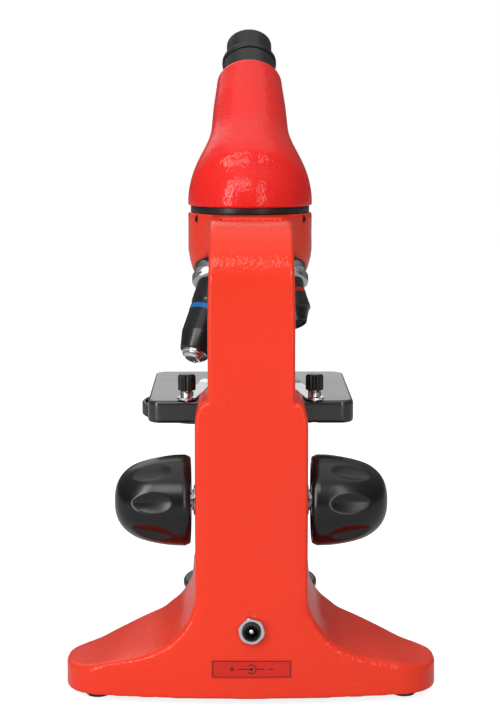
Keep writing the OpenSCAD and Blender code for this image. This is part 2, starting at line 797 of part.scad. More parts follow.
// an objective's thread ends level with the top of the turret
module under_turret_top() {
    difference() {
        children();
        on_turret() below(mount_near, turret_near + 0.3, turret_r);
    }
}

// an objective's barrel: thread, seat collar, waist ring and taper; points are [radius, distance below
// the apex]
module objective(length, end_r, sleeve, taper, bore_end_r) {
    r = barrel_d / 2;
    end = seat_s + length;
    rotate_extrude() polygon(down([[6.6, seat_s - 3.4], [9.8, seat_s - 3.4], [9.8, seat_s], [10.6, seat_s],
        [10.6, seat_s + 2.2], [r + 0.7, seat_s + 3], [r + 0.7, seat_s + sleeve - 0.5], [r, seat_s + sleeve],
        [r, end - taper], [end_r, end - 1], [end_r - 0.6, end], [bore_end_r, end], [bore_end_r, end - 2.6],
        [6.6, end - taper]]));
}

module objective_4x() {
    color("black") under_turret_top() on_objective(-120) objective(objective_4x_l, 5.4, 6, 6, 4);
}
module objective_10x() {
    color("black") under_turret_top() on_objective(0) objective(objective_10x_l, 5, 8, 11, 3.4);
}

tip_stroke = 3;
tip_out = 3.4;

module objective_40x() {
    r = barrel_d / 2;
    end = objective_40x_end - tip_out;
    color("black") under_turret_top() on_objective(120) rotate_extrude() polygon(down([[7, seat_s - 3.4],
        [9.8, seat_s - 3.4], [9.8, seat_s], [10.6, seat_s], [10.6, seat_s + 2.2], [r + 0.4, seat_s + 3],
        [r + 0.4, seat_s + 14], [r, seat_s + 14.5], [r, end - 8], [tip_r + 0.7, end], [tip_r + run_gap, end],
        [tip_r + run_gap, end - 8], [7, end - 8]]));
}

// the 40x front cell slides up into its barrel if it touches a specimen
module tip_40x() {
    end = objective_40x_end;
    color("silver") on_objective(120) rotate_extrude() polygon(down([[3.6, end - tip_out - 7.4],
        [tip_r, end - tip_out - 7.4], [tip_r, end - 2.2], [3.6, end], [2.2, end], [2.2, end - 1.4],
            [3.6, end - 2.6]]));
}

module tip_spring() {
    end = objective_40x_end - tip_out - 7.4 - tip_stroke - 0.3;
    color("gray") on_objective(120) rotate_extrude() polygon(down([[5.6, end - 8], [6.8, end - 8],
        [6.8, end], [5.6, end]]));
}

module front_lens(end, r) { below(end - 2.2, end - 0.6, r); }
module lens_4x() { color("lightcyan", 0.6) on_objective(-120) front_lens(seat_s + objective_4x_l, 3.95); }
module lens_10x() { color("lightcyan", 0.6) on_objective(0) front_lens(seat_s + objective_10x_l, 3.35); }
module lens_40x() { color("lightcyan", 0.6) on_objective(120) below(objective_40x_end - 1.4,
    objective_40x_end - 0.2, 2.15); }

// ---------- head ----------

module head_set_screws() {
    color("black") for (a = [30, 150, 270]) rotate([0, 90, a]) translate([-nose_top + 2.4, 0, socket_r + 0.2])
        difference() {
            cylinder(d = 2.9, h = 5);
            translate([0, 0, 4]) cylinder(d = 1.5, h = 3, $fn = 6);
        }
}

module dovetail_ring() {
    color("black") rotate_extrude() polygon([[14.5, nose_top - socket_depth + face_gap],
        [socket_r - run_gap, nose_top - socket_depth + face_gap], [socket_r - run_gap, nose_top + 0.1],
        [nose_d / 2 - 1.2, nose_top + 0.1], [nose_d / 2 - 1.2, head_bottom], [14.5, head_bottom]]);
}

// the head's outside: a dome over the nose, and a tapered tube that leans towards the eye
module head_casting() {
    r = nose_d / 2 - 0.1;
    power = 2.4;
    dome_h = 29.5;
    end = head_tube_l;
    color("firebrick") difference() {
        union() {
            translate([0, 0, head_bottom]) rotate_extrude() polygon(concat([[0, 0]],
                [for (t = [0:6:90]) [r * pow(cos(t), 2 / power), dome_h * pow(sin(t), 2 / power)]]));
            on_eyepiece() rotate_extrude() polygon([[0, 0], [20.5, 0], [18, 27.7], [16.8, 40.6], [15.5,
                end - 6.3],
                [15.2, end - 1.6], [14, end], [0, end]]);
        }
        translate([0, 0, head_bottom - 1]) cylinder(r = 14.5, h = prism_z - head_bottom - 4);
        side_slab(24) offset_prism(1.2);
        on_eyepiece() translate([0, 0, 12]) cylinder(r = tube_r, h = 100);
    }
}

// half-pentagonal prism seen from the side
module offset_prism(grow = 0) {
    g = grow;
    polygon([[-8.5 - g, prism_z - 7.5 - g], [8.5 + g, prism_z - 7.5 - g], [9 + g, prism_z - 5.5],
        [-1.5 + g, prism_z + 13 + g], [-12.5 - g, prism_z + 3.5 - g / 2]]);
}

module prism_holder() {
    color("dimgray") intersection() {
        translate([0, 0, prism_z - 11.5]) difference() {
            cylinder(r = 14.4, h = 3.4);
            translate([0, 0, -1]) cylinder(r = 7.5, h = 10);
        }
        translate([0, 0, head_bottom]) cylinder(r = 14.4, h = 60);
    }
}

module prism() { color("lightcyan", 0.6) side_slab(17) offset_prism(); }

module eyepiece_tube() {
    color("black") on_eyepiece() translate([0, 0, 38]) difference() {
        cylinder(r = tube_r, h = tube_end - 38);
        translate([0, 0, -1]) cylinder(r = eyepiece_d / 2 + run_gap, h = 60);
    }
}

module eyepiece_body() {
    r = eyepiece_d / 2;
    neck = cap_d / 2 - cap_wall;
    color("black") on_eyepiece() rotate_extrude() polygon([[r - 1.4, 39], [r, 39], [r, skirt_bottom],
        [skirt_d / 2, skirt_bottom], [skirt_d / 2, skirt_bottom + 2.6], [skirt_d / 2 - 0.5, cap_skirt],
        [neck, cap_skirt], [neck, cap_bottom], [8.5, cap_bottom], [8.5, skirt_bottom + 2],
        [r - 1.4, skirt_bottom - 1]]);
}

// a cup over the body's neck, with the eye opening in its dished top
module eyepiece_cap() {
    r = cap_d / 2;
    color("black") on_eyepiece() rotate_extrude() polygon([[8, cap_bottom], [r - cap_wall, cap_bottom],
        [r - cap_wall, cap_skirt], [r, cap_skirt], [r, eye_top - cap_chamfer], [r - cap_chamfer, eye_top],
        [7.5, eye_top], [6, eye_top - 2.4], [6, eye_top - 3.6], [8, eye_top - 3.6]]);
}

module eye_lens() {
    color("lightcyan", 0.6) on_eyepiece() translate([0, 0, eye_top - 6.4]) cylinder(r = 7.9, h = 2.8);
}

module field_lens() {
    color("lightcyan", 0.6) on_eyepiece() translate([0, 0, 40.5]) cylinder(r = eyepiece_d / 2 - 1.45,
        h = 2.6);
}

// ---------- the parts ----------

in_frame() {
    stand_casting();
    base_plate();
    base_screws();
    rubber_feet();
    battery_box();
    batteries();
    battery_door();
    dc_jack();
    dc_jack_nut();
    dc_jack_pin();
    rating_label();
    led_board();
    led();
    illuminator_housing();
    illuminator_rim();
    collector_lens();
    dimmer_control();
    dimmer_wheel();
    slide_guides();
    shaft_bushings();
    focus_shaft();
    focus_pinion();
    focus_knob_left();
    focus_knob_right();
    focus_rack();
    stage_slide();
    stage_plate();
    stage_screws();
    condenser_mount();
    condenser_lens();
    diaphragm_pivot();
    diaphragm_disc();
    mirror([1, 0, 0]) clip_post();  // clip_post_left
    clip_post();  // clip_post_right
    mirror([1, 0, 0]) clip_blade();  // clip_blade_left
    clip_blade();  // clip_blade_right
    mirror([1, 0, 0]) clip_cap();  // clip_cap_left
    clip_cap();  // clip_cap_right
    nosepiece_mount();
    nosepiece_pivot();
    click_spring();
    turret();
    objective_4x();
    objective_10x();
    objective_40x();
    lens_4x();
    lens_10x();
    tip_40x();
    lens_40x();
    tip_spring();
    head_set_screws();
    dovetail_ring();
    head_casting();
    prism_holder();
    prism();
    eyepiece_tube();
    eyepiece_body();
    eyepiece_cap();
    eye_lens();
    field_lens();
}
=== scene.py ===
import json
import math
import bpy
import bmesh
import numpy as np
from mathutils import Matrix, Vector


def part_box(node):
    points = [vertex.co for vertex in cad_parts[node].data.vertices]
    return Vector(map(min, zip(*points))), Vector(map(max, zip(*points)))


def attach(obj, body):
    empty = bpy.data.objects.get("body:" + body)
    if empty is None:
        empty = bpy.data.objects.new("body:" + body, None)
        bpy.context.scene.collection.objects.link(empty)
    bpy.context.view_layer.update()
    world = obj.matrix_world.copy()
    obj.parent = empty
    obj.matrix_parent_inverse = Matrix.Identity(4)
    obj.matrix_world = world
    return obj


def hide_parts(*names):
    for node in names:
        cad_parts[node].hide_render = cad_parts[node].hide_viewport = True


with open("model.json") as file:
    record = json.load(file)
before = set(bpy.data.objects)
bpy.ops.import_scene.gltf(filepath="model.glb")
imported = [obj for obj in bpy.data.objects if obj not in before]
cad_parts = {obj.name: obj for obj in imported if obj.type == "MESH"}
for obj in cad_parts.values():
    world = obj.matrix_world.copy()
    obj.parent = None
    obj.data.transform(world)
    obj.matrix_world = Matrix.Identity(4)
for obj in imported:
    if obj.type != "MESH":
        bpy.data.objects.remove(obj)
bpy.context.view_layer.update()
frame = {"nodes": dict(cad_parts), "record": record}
import openvdb
from mathutils import Matrix, Vector

mm = 0.001

# places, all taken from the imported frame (millimetres)


def boxOf(node):
    lo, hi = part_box(node)
    return np.array(lo) / mm, np.array(hi) / mm


def jointOf(name):
    return next(j for j in frame["record"]["behaviour"]["joints"] if j["name"] == name)


def jointPlace(name):
    return np.array(jointOf(name)["pos_m"]) / mm


axisY = jointPlace("head_turn")[1]  # the optical axis stands at x = 0, y = axisY
noseTop = jointPlace("head_turn")[2]
apex = jointPlace("nosepiece_turn")
shaftAt = jointPlace("focus_turn")
headBottom = boxOf("dovetail_ring")[1][2]
stageLo, stageHi = boxOf("stage_plate")
castLo, castHi = boxOf("stand_casting")
back = castHi[1]
eyeSlope = math.radians(45)
eyeAxis = np.array([0, -math.cos(eyeSlope), math.sin(eyeSlope)])
tilt = math.radians(20)
prismAt = np.array([0, axisY, noseTop + 16.9])

# mesh making


# two directions square to an axis, and the axis: the columns that turn a lathe shape onto it
def frameAlong(axis):
    w = np.array(axis, float) / np.linalg.norm(axis)
    u = np.cross([0.0, 1.0, 0.0] if abs(w[1]) < 0.9 else [1.0, 0.0, 0.0], w)
    u /= np.linalg.norm(u)
    return np.column_stack([u, np.cross(w, u), w])


# millimetre points and faces become an object in metres that rides on a body
def toMesh(name, points, faces, material, body, replaces=(), slot=None, uv=None, smooth=True, angle=35):
    mesh = bpy.data.meshes.new(name)
    mesh.from_pydata((np.asarray(points) * mm).tolist(), [], [list(map(int, f)) for f in faces])
    if uv is not None:
        layer = mesh.uv_layers.new(name="around")
        loops = np.empty(len(mesh.loops), dtype=np.int32)
        mesh.loops.foreach_get("vertex_index", loops)
        layer.data.foreach_set("uv", np.asarray(uv, dtype=np.float32)[loops].ravel())
    work = bmesh.new()
    work.from_mesh(mesh)
    bmesh.ops.remove_doubles(work, verts=work.verts, dist=2e-6)
    bmesh.ops.dissolve_degenerate(work, edges=work.edges, dist=1e-6)
    bmesh.ops.recalc_face_normals(work, faces=work.faces)
    work.to_mesh(mesh)
    work.free()
    piece = bpy.data.objects.new(name, mesh)
    bpy.context.scene.collection.objects.link(piece)
    mesh.materials.append(material)
    if smooth:
        mesh.shade_smooth()
        if angle:
            mesh.set_sharp_from_angle(angle=math.radians(angle))
    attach(piece, body)
    if replaces:
        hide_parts(*replaces)
    return piece


# each corner of an outline gives way to an arc: its ends lie on the two edges, and it bulges to the
# corner
def rounded(points, radius, steps=5):
    pts = np.array(points, float)
    out = [pts[0]]
    for a, b, c in zip(pts[:-2], pts[1:-1], pts[2:]):
        ua, uc = a - b, c - b
        la, lc = np.linalg.norm(ua), np.linalg.norm(uc)
        r = min(radius, 0.45 * la, 0.45 * lc)
        t = np.linspace(0, 1, steps)[:, None]
        out.extend((1 - t) ** 2 * (b + ua / la * r) + 2 * t * (1 - t) * b + t ** 2 * (b + uc / lc * r))
    out.append(pts[-1])
    return np.array(out)


# radius and height at each profile point, swept round: x = r cos a, y = r sin a, z = h; ripple adds
# to r
def lathePoints(profile, turns, ripple=None):
    profile = np.asarray(profile, float)
    a = np.linspace(0, 2 * math.pi, turns, endpoint=False)
    r = np.repeat(profile[:, 0][:, None], turns, 1)
    h = np.repeat(profile[:, 1][:, None], turns, 1)
    if ripple is not None:
        r = r + ripple(r, h, a[None, :])
    return np.stack([r * np.cos(a), r * np.sin(a), h], -1), a


def gridFaces(rows, cols, closeRows=False):
    i = np.arange(rows if closeRows else rows - 1)[:, None]
    j = np.arange(cols)[None, :]
    n = (i + 1) % rows
    m = (j + 1) % cols
    return np.stack([i * cols + j, n * cols + j, n * cols + m, i * cols + m], -1).reshape(-1, 4)


# a profile of [radius, height] turned about an axis; an open profile starts and ends on the axis
def lathe(name, profile, origin, axis, material, body, turns=96, ripple=None, closed=False, **more):
    grid, a = lathePoints(profile, turns, ripple)
    rows = grid.shape[0]
    points = grid.reshape(-1, 3) @ frameAlong(axis).T + np.asarray(origin, float)
    u = np.repeat((a / (2 * math.pi))[None, :], rows, 0)
    v = np.repeat(np.asarray(profile, float)[:, 1][:, None] * mm, turns, 1)
    uv = np.stack([u, v], -1).reshape(-1, 2)
    return toMesh(name, points, gridFaces(rows, turns, closed), material, body, uv=uv, **more)


# a round section carried along a path: at each point two directions square to the path span a circle
def tube(name, path, radius, material, body, sides=10, **more):
    path = np.asarray(path, float)
    along = np.gradient(path, axis=0)
    along /= np.linalg.norm(along, axis=1)[:, None]
    side = np.cross(along, [0.0, 0.0, 1.0])
    short = np.linalg.norm(side, axis=1) < 0.2
    side[short] = np.cross(along[short], [1.0, 0.0, 0.0])
    side /= np.linalg.norm(side, axis=1)[:, None]
    up = np.cross(side, along)
    a = np.linspace(0, 2 * math.pi, sides, endpoint=False)
    ring = radius * (np.cos(a)[None, :, None] * side[:, None, :] + np.sin(a)[None, :, None] * up[:, None, :])
    points = (path[:, None, :] + ring).reshape(-1, 3)
    points = np.vstack([points, path[0], path[-1]])
    faces = gridFaces(len(path), sides).tolist()
    n = len(path) * sides
    faces += [[n, (j + 1) % sides, j] for j in range(sides)]
    faces += [[n + 1, n - sides + j, n - sides + (j + 1) % sides] for j in range(sides)]
    return toMesh(name, points, faces, material, body, **more)


# solids given by their distance field: negative inside, in millimetres


def softMin(a, b, k):
    h = np.maximum(k - np.abs(a - b), 0) / k
    return np.minimum(a, b) - h * h * k / 4


def softMax(a, b, k):
    return -softMin(-a, -b, k)


def slab(v, lo, hi):
    return np.maximum(lo - v, v - hi)


# the surface where a field on a grid is zero, taken out as polygons
def fieldToPiece(name, field, lo, step, material, body, merge=0.0, **more):
    grid = openvdb.FloatGrid(4 * step)
    grid.copyFromArray(np.clip(field, -4 * step, 4 * step).astype(np.float32))
    points, triangles, quads = grid.convertToPolygons(0.0, merge)
    print(name, len(quads) * 2 + len(triangles), "triangles")
    points = points * step + np.asarray(lo, float)
    faces = [f.tolist() for f in quads] + [f.tolist() for f in triangles]
    return toMesh(name, points, faces, material, body, angle=None, **more)


def gridOver(lo, hi, step):
    axes = [np.arange(l, h + step, step) for l, h in zip(lo, hi)]
    return (axes[0][:, None, None], axes[1][None, :, None], axes[2][None, None, :])


# materials


def newMaterial(name):
    material = bpy.data.materials.new(name)
    material.use_nodes = True
    nodes = material.node_tree.nodes
    shader = nodes["Principled BSDF"]
    return material, nodes, material.node_tree.links, shader


# a noise texture on object coordinates, or on the lathe's own around-and-along coordinates
def noise(nodes, links, scale, detail=2.0, rough=0.5, stretch=None, coords="Object", uvName=None):
    if uvName:
        source = nodes.new("ShaderNodeUVMap")
        source.uv_map = uvName
        out = source.outputs["UV"]
    else:
        source = nodes.new("ShaderNodeTexCoord")
        out = source.outputs[coords]
    if stretch:
        mapping = nodes.new("ShaderNodeMapping")
        mapping.inputs["Scale"].default_value = stretch
        links.new(out, mapping.inputs["Vector"])
        out = mapping.outputs["Vector"]
    texture = nodes.new("ShaderNodeTexNoise")
    texture.inputs["Scale"].default_value = scale
    texture.inputs["Detail"].default_value = detail
    texture.inputs["Roughness"].default_value = rough
    links.new(out, texture.inputs["Vector"])
    return texture


def ramp(nodes, links, source, low, high, at=(0.3, 0.7)):
    node = nodes.new("ShaderNodeValToRGB")
    node.color_ramp.elements[0].position = at[0]
    node.color_ramp.elements[1].position = at[1]
    node.color_ramp.elements[0].color = (*low, 1)
    node.color_ramp.elements[1].color = (*high, 1)
    links.new(source, node.inputs["Fac"])
    return node.outputs["Color"]


def spread(nodes, links, source, low, high):
    node = nodes.new("ShaderNodeMapRange")
    node.inputs["From Min"].default_value = 0.25
    node.inputs["From Max"].default_value = 0.75
    node.inputs["To Min"].default_value = low
    node.inputs["To Max"].default_value = high
    links.new(source, node.inputs["Value"])
    return node.outputs["Result"]


def bumpOn(nodes, links, shader, source, distance, strength=1.0, under=None):
    node = nodes.new("ShaderNodeBump")
    node.inputs["Distance"].default_value = distance
    node.inputs["Strength"].default_value = strength
    links.new(source, node.inputs["Height"])
    if under is not None:
        links.new(under, node.inputs["Normal"])
    links.new(node.outputs["Normal"], shader.inputs["Normal"])
    return node.outputs["Normal"]


# a base colour with slow patches, a roughness that wanders, and a fine grain in the bump
def surfaceMaterial(name, colour, rough, metal=0.0, coat=0.0, coatRough=0.1, grainScale=900.0,
                    grainDepth=0.00002, patchScale=25.0, patch=0.12, roughSpread=0.08, uvName=None,
                    stretch=None, specular=0.35):
    material, nodes, links, shader = newMaterial(name)
    slow = noise(nodes, links, patchScale, 3.0)
    low = tuple(c * (1 - patch) for c in colour)
    high = tuple(min(1, c * (1 + patch)) for c in colour)
    links.new(ramp(nodes, links, slow.outputs["Fac"], low, high), shader.inputs["Base Color"])
    fine = noise(nodes, links, grainScale, 2.0, 0.5, stretch, uvName=uvName)
    links.new(spread(nodes, links, slow.outputs["Fac"], rough - roughSpread / 2, rough + roughSpread / 2),
              shader.inputs["Roughness"])
    bumpOn(nodes, links, shader, fine.outputs["Fac"], grainDepth)
    shader.inputs["Metallic"].default_value = metal
    shader.inputs["Coat Weight"].default_value = coat
    shader.inputs["Coat Roughness"].default_value = coatRough
    shader.inputs["Specular IOR Level"].default_value = specular
    return material


# glossy powder coat: soft cells about a millimetre across in the bump, under a clear skin
def powderCoat(name, colour):
    material, nodes, links, shader = newMaterial(name)
    slow = noise(nodes, links, 14.0, 2.0)
    links.new(ramp(nodes, links, slow.outputs["Fac"], tuple(c * 0.93 for c in colour), colour),
              shader.inputs["Base Color"])
    cells = noise(nodes, links, 640.0, 1.5, 0.45)
    fine = noise(nodes, links, 1500.0, 1.0)
    links.new(spread(nodes, links, slow.outputs["Fac"], 0.34, 0.42), shader.inputs["Roughness"])
    under = bumpOn(nodes, links, shader, fine.outputs["Fac"], 0.000012)
    skin = bumpOn(nodes, links, shader, cells.outputs["Fac"], 0.0002, 1.0, under)
    links.new(skin, shader.inputs["Coat Normal"])
    shader.inputs["Coat Weight"].default_value = 0.35
    shader.inputs["Coat Roughness"].default_value = 0.07
    shader.inputs["Specular IOR Level"].default_value = 0.08
    return material


# clear glass with a faint coloured bloom where its coating catches the light
def lensGlass(name, tint, coatTint):
    material, nodes, links, shader = newMaterial(name)
    slow = noise(nodes, links, 60.0, 1.0)
    links.new(ramp(nodes, links, slow.outputs["Fac"], tint,
                   tuple(0.5 * t + 0.5 * c for t, c in zip(tint, coatTint))), shader.inputs["Base Color"])
    shader.inputs["Transmission Weight"].default_value = 0.92
    shader.inputs["Roughness"].default_value = 0.02
    shader.inputs["IOR"].default_value = 1.52
    shader.inputs["Coat Weight"].default_value = 0.6
    shader.inputs["Coat Roughness"].default_value = 0.03
    shader.inputs["Coat Tint"].default_value = (*coatTint, 1)
    return material


red = (0.76, 0.038, 0.014)
redCoat = powderCoat("redPowderCoat", red)
redHead = powderCoat("redHeadCoat", (0.72, 0.018, 0.014))
blackCoat = surfaceMaterial("blackSatinCoat", (0.012, 0.012, 0.013), 0.38, grainScale=1300.0,
                            grainDepth=0.00003)
barrelBlack = surfaceMaterial("barrelBlack", (0.009, 0.009, 0.010), 0.27, grainScale=1.0, grainDepth=0.000008,
                              uvName="around", stretch=(2.0, 9000.0, 1.0), patch=0.04, coat=0.2)
stageCoat = surfaceMaterial("stageCoat", (0.016, 0.015, 0.016), 0.20, grainScale=700.0, grainDepth=0.00001,
                            specular=0.5, coat=0.3)
blackPlastic = surfaceMaterial("blackMoulding", (0.009, 0.009, 0.010), 0.36, grainScale=1800.0,
                               grainDepth=0.00002)
knobPlastic = surfaceMaterial("knobPlastic", (0.004, 0.004, 0.005), 0.26, grainScale=1100.0,
                              grainDepth=0.000012, coat=0.1)
rubber = surfaceMaterial("feetRubber", (0.02, 0.02, 0.02), 0.75, grainScale=1400.0, grainDepth=0.00004)
chrome = surfaceMaterial("chromePlate", (0.66, 0.66, 0.67), 0.12, 1.0, grainScale=160.0,
                         grainDepth=0.000004, patch=0.03)
steel = surfaceMaterial("turnedSteel", (0.60, 0.60, 0.61), 0.28, 1.0, grainScale=900.0, grainDepth=0.00001)
alloy = surfaceMaterial("machinedAlloy", (0.66, 0.66, 0.67), 0.34, 1.0, grainScale=700.0, grainDepth=0.000012)
satinMetal = surfaceMaterial("satinMetal", (0.50, 0.50, 0.51), 0.30, 1.0, grainScale=1.0, grainDepth=0.000008,
                             uvName="around", stretch=(2.0, 9000.0, 1.0), patch=0.04)
brass = surfaceMaterial("machinedBrass", (0.70, 0.50, 0.20), 0.30, 1.0, grainScale=800.0, grainDepth=0.000012)
cellWrap = surfaceMaterial("cellWrap", (0.50, 0.33, 0.05), 0.3, grainScale=500.0, grainDepth=0.00001)
boardGreen = surfaceMaterial("boardGreen", (0.01, 0.14, 0.06), 0.35, grainScale=900.0, grainDepth=0.00001)
ledYellow = surfaceMaterial("ledPhosphor", (0.85, 0.75, 0.25), 0.3, grainScale=900.0, grainDepth=0.00001)
labelFilm = surfaceMaterial("labelFilm", (0.56, 0.016, 0.006), 0.3, grainScale=1500.0, grainDepth=0.00001)
inkBlack = surfaceMaterial("inkBlack", (0.02, 0.01, 0.01), 0.4, grainScale=1500.0, grainDepth=0.00001)
markWhite = surfaceMaterial("markWhite", (0.82, 0.82, 0.82), 0.45, grainScale=1500.0, grainDepth=0.00001)
bandRed = surfaceMaterial("bandRed", (0.40, 0.012, 0.012), 0.35, grainScale=1500.0, grainDepth=0.00001)
bandYellow = surfaceMaterial("bandYellow", (0.85, 0.62, 0.03), 0.35, grainScale=1500.0, grainDepth=0.00001)
bandBlue = surfaceMaterial("bandBlue", (0.008, 0.12, 0.42), 0.35, grainScale=1500.0, grainDepth=0.00001)
glass = lensGlass("coatedLens", (0.93, 0.97, 0.98), (0.55, 0.35, 0.85))
frosted = lensGlass("collectorGlass", (0.93, 0.96, 0.98), (0.75, 0.85, 1.0))
print("materials made")

cadMaterials = {"base_plate": blackPlastic, "base_screws": steel, "rubber_feet": rubber,
                "battery_box": blackPlastic, "batteries": cellWrap, "battery_door": blackPlastic,
                "dc_jack": blackPlastic, "dc_jack_nut": steel, "dc_jack_pin": chrome,
                "rating_label": labelFilm, "led_board": boardGreen, "led": ledYellow,
                "illuminator_housing": blackPlastic, "illuminator_rim": blackPlastic,
                "collector_lens": frosted, "dimmer_control": blackPlastic, "dimmer_wheel": knobPlastic,
                "slide_guides": brass, "shaft_bushings": steel, "focus_shaft": steel, "focus_pinion": steel,
                "focus_knob_left": knobPlastic, "focus_knob_right": knobPlastic, "focus_rack": brass,
                "stage_slide": alloy, "stage_plate": stageCoat, "stage_screws": steel,
                "condenser_mount": blackCoat, "condenser_lens": glass, "diaphragm_pivot": steel,
                "diaphragm_disc": blackCoat, "clip_post_left": chrome, "clip_post_right": chrome,
                "clip_blade_left": chrome, "clip_blade_right": chrome, "clip_cap_left": knobPlastic,
                "clip_cap_right": knobPlastic, "nosepiece_mount": blackCoat, "nosepiece_pivot": steel,
                "click_spring": steel, "turret": chrome, "objective_4x": barrelBlack,
                "objective_10x": barrelBlack, "objective_40x": barrelBlack, "lens_4x": glass,
                "lens_10x": glass, "tip_40x": chrome, "lens_40x": glass, "tip_spring": steel,
                "head_set_screws": steel, "dovetail_ring": blackCoat, "stand_casting": redCoat,
                "head_casting": redHead, "prism_holder": blackPlastic, "prism": glass,
                "eyepiece_tube": blackCoat, "eyepiece_body": blackPlastic, "eyepiece_cap": blackPlastic,
                "eye_lens": glass, "field_lens": glass}
for node, material in cadMaterials.items():
    solid = frame["nodes"][node]
    solid.data.materials.clear()
    solid.data.materials.append(material)

# the stand's casting

casting = {"step": 0.8, "wingRadius": 23.0, "wingTop": 15.0, "flare": 30.0, "tongueHalf": 30.0,
           "tongueTop": 28.0, "columnHalf": 23.65, "columnDepth": 38.0, "armHalf": 18.15, "armTaper": 0.9,
           "armCorner": 25.0, "edge": 1.8, "noseRadius": 28.0, "rim": 2.2, "ledge": 59.0, "rearDrop": 5.0,
           "frontRise": 1.5}


endX = castHi[0] - casting["wingRadius"]
endY = back - casting["wingRadius"] - 5
bowDepth = back - endY - casting["wingRadius"]  # how far the bowed back stands out past the wings' ends
bowR = (endX ** 2 + (back - endY) ** 2 - casting["wingRadius"] ** 2) / (2 * bowDepth)


# a bar with round ends and a bowed back, under a top that flares into the column and rises to the
# front
def wingField(x, y, z):
    c = casting
    ax = np.abs(x)
    dx, dy = np.maximum(ax - endX, 0), np.abs(y - endY)
    bar = (dx ** 2.4 + dy ** 2.4) ** (1 / 2.4) - c["wingRadius"]
    touch = endX * (1 + c["wingRadius"] / (bowR - c["wingRadius"]))
    bow = np.maximum(np.hypot(x, y - (back - bowR)) - bowR, np.maximum(endY - y, ax - touch))
    front = np.maximum(np.abs(y - endY) - c["wingRadius"], ax - endX)
    plan = np.minimum(np.minimum(bar, bow), front)
    lean = math.radians(23.8)
    cx = c["columnHalf"] + c["flare"]
    cz = c["wingTop"] + 12.6 + c["flare"] * math.cos(lean)
    forth = np.clip((back - y) / (back - endY + c["wingRadius"]), 0, 1)
    fade = np.clip((70 - ax) / 26, 0, 1)
    z = z + (c["rearDrop"] * (1 - forth) - c["frontRise"] * forth) * fade * fade * (3 - 2 * fade)
    ring = c["flare"] - np.hypot(ax - cx, z - cz)
    tangentX = cx - c["flare"] * math.sin(lean)
    slope = (z - (cz - c["flare"] * math.cos(lean))) * math.cos(lean) + (ax - tangentX) * math.sin(lean)
    flat = z - c["wingTop"] + 0 * ax
    outer = softMin(slope, flat, 3.0)
    inFlare = (ax < tangentX) & (z < cz)
    top = np.where(inFlare, ring, np.where(ax < tangentX, ax - c["columnHalf"], outer))
    top = softMax(top, z - c["ledge"] + 0 * top, 8.0)
    return softMax(plan, top, c["rim"])


